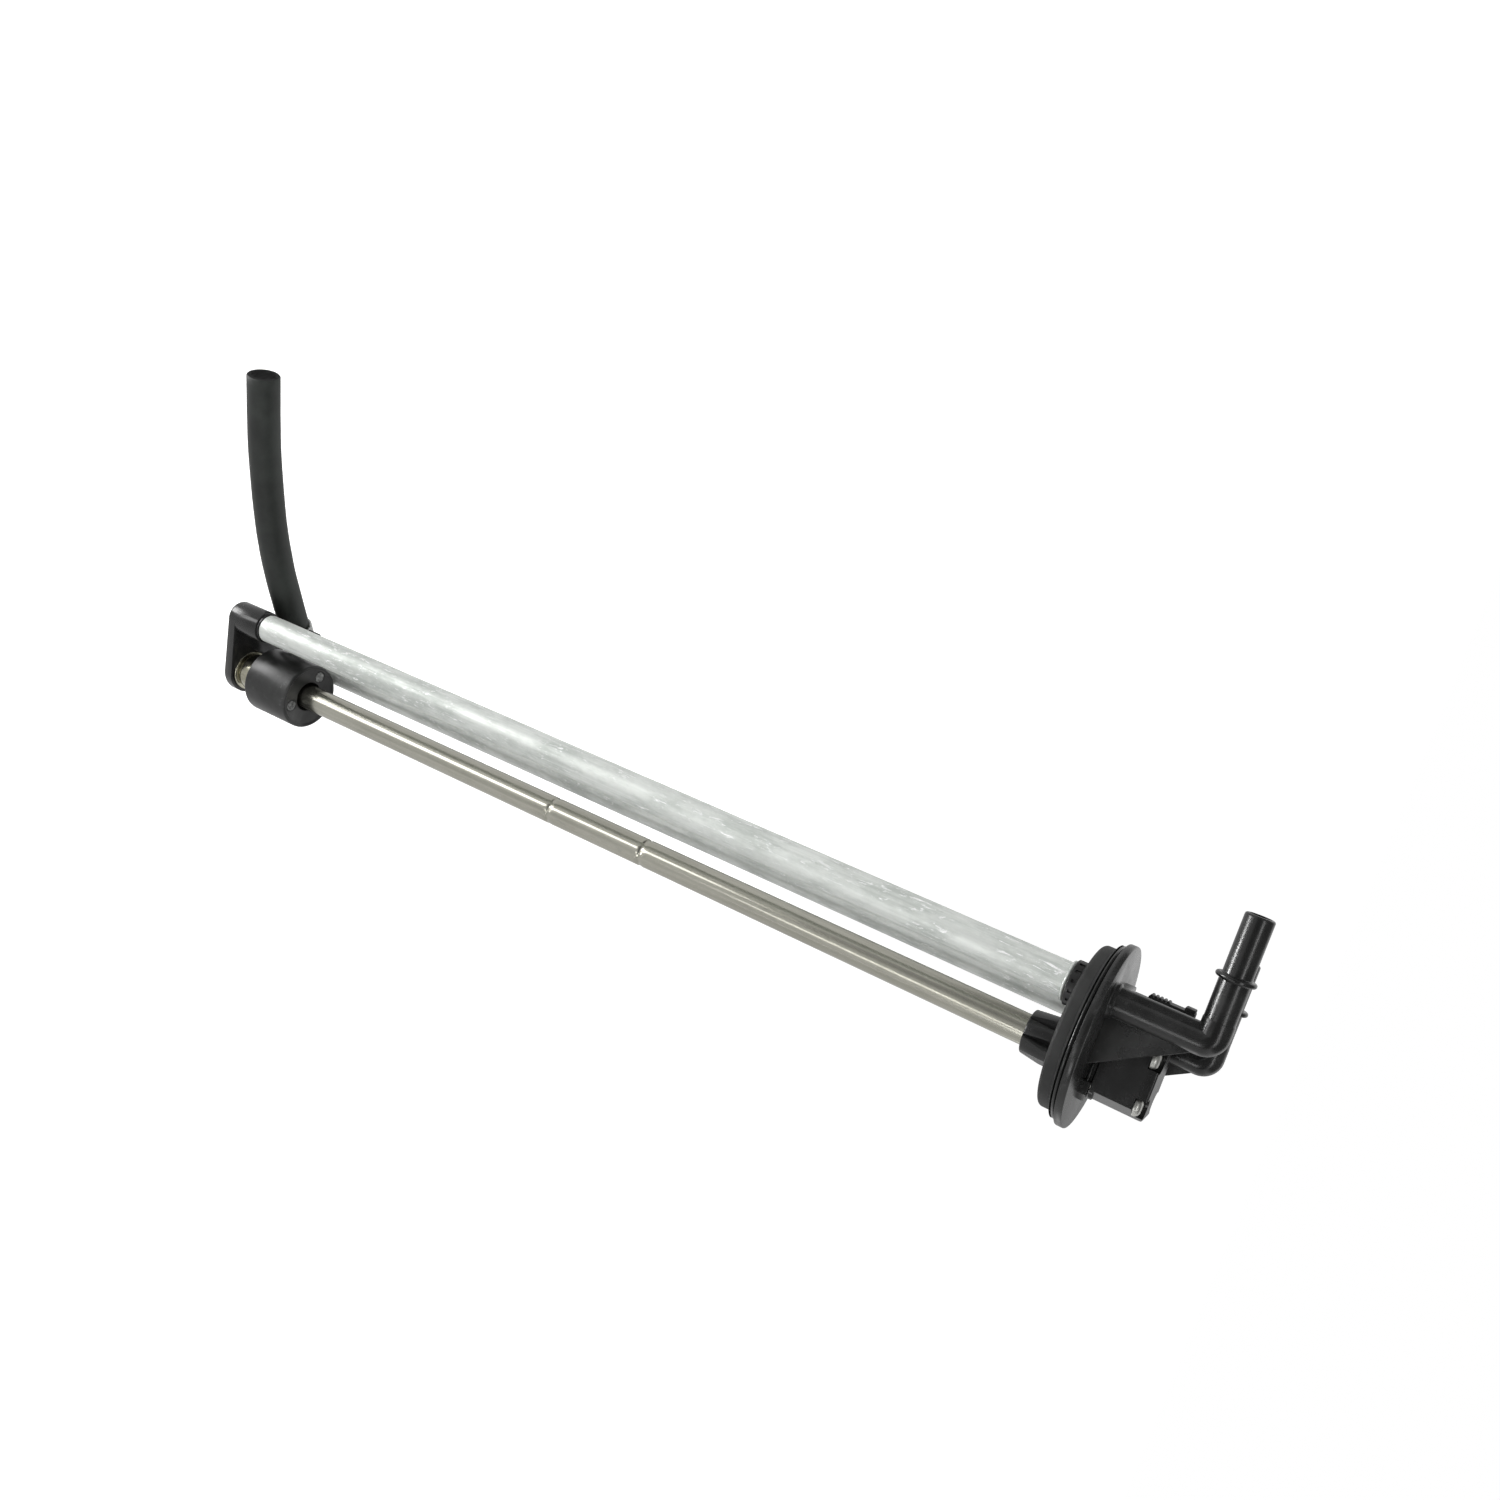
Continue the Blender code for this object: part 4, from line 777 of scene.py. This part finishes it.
def makeShell(facts):
    base, wall, latchTop = plinthTop + gap, facts["wall"], facts["latchTop"]
    body = plate(roundedBox(facts["low"], facts["high"], facts["corner"]), base, facts["top"], facts["edge"])
    middle = (facts["low"][1] + facts["high"][1]) / 2
    side = facts["high"][0]
    reach = side + facts["reach"]
    half = facts["width"] / 2
    nub = half - facts["nubInset"]
    joins = [slab((side - 0.5 * wall, middle - half, facts["latchLow"]), (reach, middle + half, latchTop),
                  facts["latchEdge"]),
             slab((side, middle - nub, latchTop - facts["nubHeight"]),
                  (reach + facts["nubReach"], middle + nub, latchTop - facts["nubDrop"]), facts["nubInset"])]
    length = facts["gripReach"] * facts["width"]
    for index in range(facts["grips"]):
        height = facts["latchLow"] + facts["gripPitch"] * (index + facts["gripStart"])
        grip = rod(facts["gripRadius"], -length, length, facts["gripSides"], width=facts["gripEdge"])
        joins.append(placed(grip, (reach, middle, height), turnX))
    floor = base + facts["floor"]
    cuts = [plate(roundedBox(*inset(facts, wall, wall), facts["corner"] - wall), floor, latchTop + beyond)]
    x = (facts["low"][0] + side) / 2
    roomX, roomY = facts["pinThickness"] / 2 + gap, facts["pinWidth"] / 2 + gap
    for index in range(facts["pins"]):
        y = middle + (index - (facts["pins"] - 1) / 2) * facts["pinPitch"]
        cuts.append(slab((x - roomX, y - roomY, base - beyond), (x + roomX, y + roomY, floor + beyond)))
    piece("plugSocket", fused(body, joins, cuts), ("connectorPlastic",), ("connector_shell",))


makeShell(shell)
print("connector made")

# Fluted collet at the top of the guide tube. The flutes are square cutters with an edge turned inwards.
collet = inMm(low=-22.5, top=-8.4, inner=6.3, lowRadius=8.5, radius=9.5, shoulder=-14.5, fluteLow=2.9,
              fluteRadius=3.6, fluteDepth=2.4, edge=0.8) | {
    "flutes": 7, "turn": math.radians(41.5), "sides": 80, "edgeSteps": 4, "fluteSides": 4}


def makeCollet(facts):
    low, top, inner, edge = facts["low"], facts["top"], facts["inner"], facts["edge"]
    outline = [(inner, low), *arc(facts["lowRadius"] - edge, low + edge, edge, 270, 360, facts["edgeSteps"]),
               (facts["radius"], facts["shoulder"]), (facts["radius"], top), (inner, top)]
    reach = facts["radius"] + facts["fluteRadius"] - facts["fluteDepth"]
    cuts = []
    for index in range(facts["flutes"]):
        flute = rod(facts["fluteLow"], low, top + gap, facts["fluteSides"], (reach, 0),
                    topRadius=facts["fluteRadius"])
        turn = Matrix.Rotation(math.tau * index / facts["flutes"] + facts["turn"], 4, "Z")
        cuts.append(placed(flute, guideAxis, turn))
    body = placed(spun(outline, facts["sides"]), guideAxis)
    piece("flutedCollet", fused(body, cuts=cuts), ("colletPlastic",), ("guide_tube_collet",))


# Toothed rings that hold the suction and return tubes against the head
collar = inMm(top=-8.4, height=3.4, wall=1.5, edge=0.3, notchDepth=0.7, notchWidth=1.3, notchHead=0.15,
              notchEdge=0.2) | {"sides": 64, "notches": 14, "notchFoot": 0.35}


def makeCollar(name, node, radius, axis, facts):
    inner, top, edge = radius + gap, facts["top"], facts["edge"]
    outer, low = inner + facts["wall"], top - facts["height"]
    outline = ((inner, low), (outer - edge, low), (outer, low + edge), (outer, top), (inner, top))
    half = facts["notchWidth"] / 2
    cuts = []
    for index in range(facts["notches"]):
        notch = slab((outer - facts["notchDepth"], -half, low + facts["notchFoot"] * facts["height"]),
                     (outer + beyond, half, top - facts["notchHead"]), facts["notchEdge"])
        cuts.append(placed(notch, axis, Matrix.Rotation(math.tau * index / facts["notches"], 4, "Z")))
    body = placed(spun(outline, facts["sides"]), axis)
    piece(name, fused(body, cuts=cuts), ("collarPlastic",), (node,))


makeCollet(collet)
makeCollar("suctionTeeth", "suction_collar", tubeRadius["suction"], suctionAxis, collar)
makeCollar("returnTeeth", "return_collar", tubeRadius["return"], returnAxis, collar)
print("collet and collars made")

# Drawn tubes: walls with many rings, so that shallow dents and a slight waviness can be pressed in
guideTube = inMm(wall=0.8, top=-2.3, low=-449.9, round=0.3, wave=0.02, crimps=(-246.6, -196.9),
                 crimpWidth=1.4, crimpDepth=0.35) | {
    "axis": guideAxis, "radius": tubeRadius["guide"], "rings": 150, "sides": 56, "edgeSteps": 4,
    "dents": 0, "bead": 0.0}
suctionTube = inMm(wall=1.0, top=-2.3, low=-425.3, round=0.55, wave=0.04, bead=1.0) | {
    "axis": suctionAxis, "radius": tubeRadius["suction"], "rings": 190, "sides": 64, "edgeSteps": 4,
    "dents": 14, "crimps": ()}
returnTube = inMm(wall=1.0, top=-2.3, edge=0.3, wave=0.04, bead=1.0) | {
    "radius": tubeRadius["return"], "rings": 120, "turn": 14, "sides": 56, "waveScale": 24}
tubeBead = inMm(top=-12.1, height=1.2, margin=0.4, clear=4.0) | {"steps": 8}
beadHeights = [tubeBead["top"] - tubeBead["height"] * step / tubeBead["steps"]
               for step in range(tubeBead["steps"] + 1)]
dentEnd = tubeBead["top"] - tubeBead["clear"]
crimpShares = (-0.8, -0.55, -0.3, -0.12, 0.12, 0.3, 0.55, 0.8)
dent = inMm(depth=(0.05, 0.07), size=(2.0, 3.5)) | {
    "margin": 0.06, "facing": 0.5, "fan": 0.55, "length": 1.8, "waveScale": (60, 22)}


# How far the bead under the head stands out of a tube
def beadSwell(facts, height):
    share = (tubeBead["top"] - height) / tubeBead["height"]
    return facts["bead"] * math.sqrt(max(0.0, 1 - (2 * share - 1) ** 2)) if 0 <= share <= 1 else 0.0


# How deep a rolled crimp is at a height
def crimped(facts, height):
    return sum(facts["crimpDepth"] * max(0.0, 1 - 1.6 * ((height - crimp) / facts["crimpWidth"]) ** 2)
               for crimp in facts["crimps"])


# One dent in each stretch of the tube's length, on the side that the camera sees
def dentSpots(facts):
    spots = []
    for index in range(facts["dents"]):
        pick = noise.random_unit_vector()
        share = dent["margin"] + (1 - 2 * dent["margin"]) * (index + 0.5 * pick.z + 0.5) / facts["dents"]
        spots.append({"height": facts["low"] + share * (facts["top"] - facts["low"]),
                      "angle": math.pi * (dent["facing"] + dent["fan"] * pick.x),
                      "depth": dent["depth"][0] + dent["depth"][1] * abs(pick.y),
                      "size": dent["size"][0] + dent["size"][1] * abs(pick.z)})
    return spots


def pressDents(bm, facts, seed):
    spots = dentSpots(facts)
    across, along = dent["waveScale"]
    for vert in bm.verts:
        flat = Vector((*(vert.co - facts["axis"]).xy, 0))
        if flat.length < facts["radius"] - 0.5 * facts["wall"] or vert.co.z > dentEnd:
            continue
        angle = math.atan2(flat.y, flat.x)
        x, y, z = vert.co
        push = facts["wave"] * noise.noise(Vector((x * across + seed, y * across, z * along)))
        for spot in spots:
            side = facts["radius"] * math.remainder(angle - spot["angle"], math.tau) / spot["size"]
            rise = (z - spot["height"]) / (dent["length"] * spot["size"])
            push -= spot["depth"] * math.exp(-rise ** 2 - side ** 2)
        vert.co += flat.normalized() * push


def makeTube(name, node, surface, facts, seed):
    radius, low, top, edge = facts["radius"], facts["low"], facts["top"], facts["round"]
    inner = radius - facts["wall"]
    outline = [(inner, top), (inner, low + 0.3 * edge), (inner + 0.3 * edge, low),
               *arc(radius - edge, low + edge, edge, 270, 360, facts["edgeSteps"])[:-1]]
    heights = [low + edge + (top - low - edge) * step / facts["rings"] for step in range(facts["rings"] + 1)]
    for crimp in facts["crimps"]:
        heights += [crimp + facts["crimpWidth"] * share for share in crimpShares]
    if facts["bead"]:
        under, over = beadHeights[-1] - tubeBead["margin"], beadHeights[0] + tubeBead["margin"]
        heights = [height for height in heights if not under < height < over] + beadHeights
    outline += [(radius - crimped(facts, height) + beadSwell(facts, height), height)
                for height in sorted(heights)]
    bm = placed(spun(outline, facts["sides"]), facts["axis"])
    noise.seed_set(seed)
    pressDents(bm, facts, seed)
    piece(name, bm, (surface,), (node,), limit=40)


makeTube("guideTubeSteel", "guide_tube", "drawnSteel", guideTube, 3)
makeTube("suctionTubeDrawn", "suction_tube", "drawnAluminium", suctionTube, 7)
print("straight tubes made")


def makeReturnTube(facts):
    down, bend, top = -up, returnHose["bend"], facts["top"]
    foot = returnHose["height"] + bend
    heights = [top + (foot - top) * step / facts["rings"] for step in range(facts["rings"] + 1)] + beadHeights
    stations = []
    for height in sorted(heights, reverse=True):
        swell = beadSwell(facts, height)
        point = returnAxis + height * up
        if height < dentEnd:
            swell += facts["wave"] * noise.noise(point * facts["waveScale"])
        stations.append((point, down, swell))
    corner = returnAxis + hoseDrop
    centre = corner + bend * hoseWay - bend * down
    for step in range(1, facts["turn"] + 1):
        angle = quarter * step / facts["turn"]
        way = down * math.cos(angle) + hoseWay * math.sin(angle)
        stations.append((centre + bend * (down * math.sin(angle) - hoseWay * math.cos(angle)), way, 0))
    end = corner + (bend + returnHose["overlap"]) * hoseWay
    stations += [(end - facts["edge"] * hoseWay, hoseWay, 0), (end, hoseWay, -facts["edge"])]
    side = down.cross(hoseWay).normalized()
    wall = [(point, side, way, facts["radius"] + swell) for point, way, swell in stations]
    wall += [(point, side, way, facts["radius"] - facts["wall"]) for point, way, swell in stations[::-1]]
    bm = bridged(wall, facts["sides"])
    piece("returnTubeDrawn", bm, ("drawnAluminiumDull",), ("return_tube",), limit=40)


makeReturnTube(returnTube)
print("return tube made")

# Float with its rounded rim, sunk face and two rough potted pockets
ringFloat = inMm(radius=15.8, bore=7.1, low=-430.05, height=28.15, edge=1.0, boreEdge=0.5, boreEase=0.15,
                 rim=1.4, rimSlope=(0.15, 0.4, 0.6), rimEase=0.1, sunk=0.5, pocket=2.8, pocketDepth=4.4) | {
    "sides": 112, "pocketSides": 36, "edgeSteps": 4}
potting = inMm(short=0.25) | {
    "sides": 40, "rings": (0.10, 0.12, 0.14, 0.17, 0.2, 0.25, 0.3), "ringReach": 0.62, "lumpScale": 900,
    "grainScale": 2100, "grainShare": 0.6, "rough": 0.22, "crown": 0.18}


def makeFloat(facts):
    low, edge, bore = facts["low"], facts["edge"], facts["bore"]
    top = low + facts["height"]
    face = top - facts["sunk"]
    side = facts["radius"] - edge
    inside = facts["radius"] - facts["rim"]
    wide, ease, soft, steps = facts["boreEdge"], facts["boreEase"], facts["rimEase"], facts["edgeSteps"]
    brow, slope, floor = (inside - reach for reach in facts["rimSlope"])
    outline = [(bore + wide, low), *arc(side, low + edge, edge, 270, 360, steps),
               *arc(side, top - edge, edge, 0, 90, steps), (inside, top), (brow, top - soft),
               (slope, face + soft), (floor, face), (bore + wide, face), (bore + ease, face - ease),
               (bore, face - wide), (bore, low + wide), (bore + ease, low + ease)]
    cuts = [rod(facts["pocket"], face - facts["pocketDepth"], top + beyond, facts["pocketSides"],
                middleOf(f"float_potting_{index}")) for index in (1, 2)]
    body = placed(spun(outline, facts["sides"]), guideAxis)
    piece("ringFloatBody", fused(body, cuts=cuts), ("floatFoam",), ("float",), floatBody)


def makePotting(index, facts):
    node = f"float_potting_{index}"
    low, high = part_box(node)
    middle = (low + high) / 2
    radius = (high.x - low.x) / 2
    bm = bmesh.new()
    bmesh.ops.create_circle(bm, cap_ends=True, segments=facts["sides"], radius=radius,
                            matrix=Matrix.Translation((middle.x, middle.y, low.z)))
    lid = raised(bm, bm.faces[:], high.z - low.z - facts["short"])
    for share in facts["rings"]:
        bmesh.ops.inset_region(bm, faces=lid, thickness=share * radius * facts["ringReach"], depth=0.0)
    for vert in bm.verts:
        if vert.co.z > middle.z:
            away = (vert.co - middle).xy.length / radius
            lump = (noise.noise(vert.co * facts["lumpScale"])
                    + facts["grainShare"] * noise.noise(vert.co * facts["grainScale"]))
            vert.co.z += (facts["rough"] * lump + facts["crown"] * (1 - away)) * mm
    piece(f"pottingFill{index}", closedUp(bm), ("pottingResin",), (node,), floatBody, limit=70)


makeFloat(ringFloat)
makePotting(1, potting)
makePotting(2, potting)
print("float made")

# Turned stop spool under the float
spool = inMm(inner=6.3, lowRadius=10.0, topRadius=9.6, waist=8.0, body=9.2, rim=1.3) | {
    "groove": 1.2, "shoulder": 1.7, "swell": 1.6, "sides": 72, "rimSteps": 6, "waistSteps": 5}


def makeSpool(facts):
    low, high = (corner.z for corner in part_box("stop_ring"))
    rim, waist = facts["rim"], facts["waist"]
    groove, shoulder, swell = (facts[name] * rim for name in ("groove", "shoulder", "swell"))
    deep = facts["body"] - waist
    half = rim / 2
    rimSteps, waistSteps = facts["rimSteps"], facts["waistSteps"]
    outline = [(facts["inner"], low), *arc(facts["lowRadius"] - half, low + half, half, -90, 90, rimSteps),
               (waist, low + groove), (waist, low + shoulder),
               *arc(waist, low + shoulder + swell, deep, 270, 360, waistSteps, swell)[1:],
               *arc(waist, high - shoulder - swell, deep, 0, 90, waistSteps, swell)[:-1],
               (waist, high - shoulder), (waist, high - groove),
               *arc(facts["topRadius"] - half, high - half, half, -90, 90, rimSteps), (facts["inner"], high)]
    bm = placed(spun(outline, facts["sides"]), guideAxis)
    piece("turnedSpool", bm, ("turnedSteel",), ("stop_ring",), limit=45)


makeSpool(spool)
print("stop spool made")

# Moulded bracket: socket under the suction tube, arm and lobe, with a spigot up into the tube
bracket = inMm(socket=7.6, low=-445.8, edge=1.6, spigotBore=3.8, spigot=5.33, spigotEdge=0.5,
               spigotTop=-413.3, mouth=-426.7, lip=0.4, discEdge=0.7, seat=10.6, seatTop=-430.0, hole=6.3,
               holeEase=0.05) | {
    "discSides": 56, "sides": 64, "edgeSteps": 6, "boreSides": 32, "seatSides": 64, "holeSides": 48}
socketDisc = inMm(radius=7.6, low=-445.8, top=-441.2) | {"axis": suctionAxis}
lobeDisc = inMm(radius=11.6, low=-449.9, top=-445.0) | {"axis": guideAxis}
armDisc = inMm(radius=4.5, low=-447.5, top=-443.0) | {"axis": Vector((3.2 * mm, -12.6 * mm, 0))}


def makeBracket(facts):
    edge, deep, bore, spigot = facts["edge"], facts["discEdge"], facts["spigotBore"], facts["spigot"]
    low, mouth, top, socket = facts["low"], facts["mouth"], facts["spigotTop"], facts["socket"]
    outline = [(bore, top), (spigot - facts["spigotEdge"], top), (spigot, top - 2 * facts["spigotEdge"]),
               (spigot, mouth), *eased(socket, mouth, facts["lip"], -1)[::-1],
               *arc(socket - edge, low + edge, edge, 360, 270, facts["edgeSteps"]), (bore, low)]
    body = placed(spun(outline, facts["sides"]), suctionAxis)
    circles = []
    for disc in (socketDisc, lobeDisc, armDisc):
        for height, inward in ((disc["low"], deep), (disc["low"] + 0.3 * deep, 0.3 * deep),
                               (disc["low"] + deep, 0), (disc["top"], 0)):
            circles.append((Matrix.Translation(disc["axis"] + height * up), disc["radius"] - inward))
    cuts = [rod(bore + facts["holeEase"], low - beyond, mouth, facts["boreSides"], suctionAxis),
            rod(facts["seat"], lobeDisc["top"], facts["seatTop"], facts["seatSides"], guideAxis),
            rod(facts["hole"], lobeDisc["low"] - beyond, lobeDisc["top"] + beyond, facts["holeSides"],
                guideAxis)]
    bm = fused(body, [hulled(circles, facts["discSides"])], cuts)
    piece("lowerBracket", bm, ("bracketPlastic",), ("bottom_bracket",))


makeBracket(bracket)
print("bracket made")

# Ear clamp on the hose. The outer part of its ear gets a near black copy of the band steel: painted shade for
# the ear's crimped gap.
clamp = inMm(place=18.5, width=5.5, thickness=0.8, edge=0.15, ear=8.0, earWidth=4.6, earEdge=0.5,
             eyeEdge=0.3) | {"earReach": 0.4, "shade": 0.3, "sides": 64}


def makeClamp(facts):
    width, thick, edge = facts["width"], facts["thickness"], facts["edge"]
    inner = returnHose["radius"] + gap
    outer = inner + thick
    half = width / 2
    body = spun(((inner, -half), (outer - edge, -half), (outer, -half + edge), (outer, half - edge),
                 (outer - edge, half), (inner, half)), facts["sides"])
    top = outer + facts["ear"]
    wide = facts["earWidth"] / 2
    reach = facts["earReach"] * width
    ear = slab((-top, -wide, -reach), (-outer + 0.5 * thick, wide, reach), facts["earEdge"])
    eye = slab((-top + thick, -wide + thick, -width), (-outer, wide - thick, width), facts["eyeEdge"])
    place = returnAxis + hoseDrop + facts["place"] * hoseWay
    turn = Matrix.Rotation(returnHose["heading"], 4, "Z") @ turnY
    bm = fused(placed(body, place, turn), [placed(ear, place, turn)], [placed(eye, place, turn)])
    # Faces far out on the ear take the near black steel, a painted shade
    for face in bm.faces:
        away = face.calc_center_median() - place
        away -= away.dot(hoseWay) * hoseWay
        face.material_index = int(away.length > outer + facts["shade"] * facts["ear"])
    piece("earClamp", bm, ("clampSteel", "clampEarDark"), ("hose_clamp",))


makeClamp(clamp)
print("clamp made")

# The CAD nodes that stay get their own finish
kept = {
    "sealRubber": ("cover_gasket", "guide_tube_seal", "suction_tube_seal", "return_tube_seal",
                   "suction_end_seal"),
    "boardLacquer": ("circuit_board", "reed_strip"),
    "tinnedPin": ("connector_pin_1", "connector_pin_2", "connector_pin_3"),
    "zincPlate": ("guide_tube_plug",),
    "magnetNickel": ("float_magnet_1", "float_magnet_2"),
}
for surface, nodes in kept.items():
    for node in nodes:
        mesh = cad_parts[node].data
        mesh.materials.clear()
        mesh.materials.append(bpy.data.materials[surface])
print("kept nodes finished")

# Floor and light
white = (1, 1, 1, 1)
stage = {"floor": -0.80, "size": 60.0, "white": 0.86, "glow": 0.60}
plainLight = {"seen": 1.0, "other": 0.50}
lightMiddle = (0.02, 0.01, -0.20)

# The last lamp is a narrow softbox on the floor that only the upper nipple mirrors
lamps = (
    {"name": "keyPanel", "place": (1.2, 0.5, 0.25), "size": 1.0, "power": 15.0},
    {"name": "topPanel", "place": (-0.1, 0.3, 1.5), "size": 1.2, "power": 12.0},
    {"name": "sidePanel", "place": (-1.3, 0.7, -0.1), "size": 1.0, "power": 7.0},
    {"name": "backPanel", "place": (0.2, -1.4, 0.4), "size": 1.2, "power": 8.0},
    {"name": "nippleGlint", "place": (-0.04, 0.30, -0.785), "aim": (0.045, 0.013, 0.038), "size": 0.22,
     "power": 0.17, "spread": math.radians(24.0)},
)

# The cards are seen in reflections only, as a studio's flags and softboxes are. Each has its brightness, the
# axis that it faces, its place there and its corners on the other two axes. Two corners mean a rectangle, and
# where there is no axis the corners have all three coordinates.
cards = {
    "frontPanel": (0.72, 1, 0.85, ((-1.2, -0.79), (1.2, -0.15))),
    "lowPanel": (0.76, 2, -0.79, ((-1.3, -1.2), (1.3, 0.85))),
    "leftPanel": (0.70, 0, -1.25, ((-1.2, -0.79), (0.85, 0.55))),
    "cornerCard": (1.5, 0, -1.2, ((-1.05, -0.28), (-0.45, 0.0))),
    "rightPanel": (0.80, 0, 1.25, ((-1.2, -0.79), (0.85, -0.32))),
    "rightHighFlag": (0.10, 0, 1.25, ((-1.2, -0.32), (0.85, 0.80))),
    "highFlag": (0.10, 1, 0.85, ((-1.2, -0.15), (1.2, 0.60))),
    "roofFlag": (0.14, 2, 1.0, ((-1.3, -0.7), (1.3, 0.9))),
    "rightFlag": (0.36, 1, 0.70, ((0.13, -0.46), (0.62, -0.08))),
    "leftFlag": (0.64, 1, 0.46, ((-0.30, -0.78), (-0.03, -0.46))),
    "backLowPanel": (0.62, 1, -1.2, ((-1.3, -0.79), (1.3, -0.04))),
    "backPanelHigh": (1.0, 1, -1.2, ((-0.20, -0.04), (1.3, 0.55))),
    "backPanelLow": (0.50, 1, -1.2, ((-1.3, -0.04), (-0.20, 0.55))),
    "wedgeLight": (5.0, 1, 0.40, ((0.04, -0.78), (0.23, -0.78), (0.19, -0.34), (0.14, -0.34))),
    "stripLight": (5.5, 1, 0.65, ((-0.18, -0.42), (-0.13, -0.42), (-0.19, -0.14), (-0.25, -0.14))),
    "stripLightHigh": (6.0, 1, 0.65, ((-0.58, -0.14), (-0.36, -0.14), (-0.36, 0.02), (-0.60, 0.02))),
    "floorSoftbox": (13.0, 2, -0.785, ((0.10, 0.16), (0.28, 0.14), (0.25, 0.30), (0.10, 0.35))),
    "highStrip": (6.0, None, None, ((-0.6, 0.78, 0.64), (0.4, 0.78, 0.64), (0.4, 0.70, 0.74),
                                    (-0.6, 0.70, 0.74))),
}


# One shader for what is seen directly or in a reflection, another for the light that falls on things
def onlyCamera(tree, seen, other):
    path = tree.nodes.new("ShaderNodeLightPath").outputs
    share = maths(tree, "MAXIMUM", path["Is Camera Ray"], path["Is Transmission Ray"], path["Is Glossy Ray"])
    return makeNode(tree, "ShaderNodeMixShader", ((0, share), (1, other), (2, seen))).outputs[0]


def cleared(owner):
    owner.use_nodes = True
    owner.node_tree.nodes.clear()
    return owner.node_tree


def makeWorld(facts):
    world = bpy.data.worlds.new("paleStudio")
    bpy.context.scene.world = world
    tree = cleared(world)
    skies = [makeNode(tree, "ShaderNodeBackground", (("Color", white), ("Strength", facts[name]))).outputs[0]
             for name in ("seen", "other")]
    makeNode(tree, "ShaderNodeOutputWorld", (("Surface", onlyCamera(tree, *skies)),))


def glowing(tree, strength):
    return makeNode(tree, "ShaderNodeEmission", (("Color", white), ("Strength", strength))).outputs[0]


def makeFloor(facts):
    bm = bmesh.new()
    bmesh.ops.create_grid(bm, x_segments=1, y_segments=1, size=facts["size"],
                          matrix=Matrix.Translation((0, 0, facts["floor"])))
    item = looseObject(bm, "floor")
    surface = bpy.data.materials.new("paleFloor")
    tree = cleared(surface)
    matt = makeNode(tree, "ShaderNodeBsdfDiffuse", (("Color", grey(facts["white"])),)).outputs[0]
    both = makeNode(tree, "ShaderNodeAddShader", ((0, matt), (1, glowing(tree, facts["glow"])))).outputs[0]
    makeNode(tree, "ShaderNodeOutputMaterial", (("Surface", onlyCamera(tree, both, matt)),))
    item.data.materials.append(surface)


def makeLamp(facts):
    light = bpy.data.lights.new(facts["name"], "AREA")
    light.energy = facts["power"]
    light.size = facts["size"]
    light.spread = facts.get("spread", math.pi)
    lamp = bpy.data.objects.new(facts["name"], light)
    lamp.location = facts["place"]
    way = Vector(facts.get("aim", lightMiddle)) - Vector(facts["place"])
    lamp.rotation_euler = way.to_track_quat("-Z", "Y").to_euler()
    lamp.visible_glossy = "aim" in facts
    lamp.visible_diffuse = "aim" not in facts
    bpy.context.scene.collection.objects.link(lamp)


def makeCard(name, glow, axis, level, corners):
    if len(corners) == 2:
        (left, low), (right, high) = corners
        corners = ((left, low), (right, low), (right, high), (left, high))
    bm = bmesh.new()
    verts = []
    for corner in corners:
        corner = list(corner)
        if axis is not None:
            corner.insert(axis, level)
        verts.append(bm.verts.new(corner))
    bm.faces.new(verts)
    item = looseObject(bm, name)
    surface = bpy.data.materials.new(name)
    tree = cleared(surface)
    makeNode(tree, "ShaderNodeOutputMaterial", (("Surface", glowing(tree, glow)),))
    item.data.materials.append(surface)
    item.visible_camera = False
    item.visible_diffuse = False
    item.visible_transmission = False
    item.visible_shadow = False


makeWorld(plainLight)
makeFloor(stage)
for lamp in lamps:
    makeLamp(lamp)
for name, facts in cards.items():
    makeCard(name, *facts)
bpy.context.scene.view_settings.view_transform = "Standard"
print("floor and lamps set")
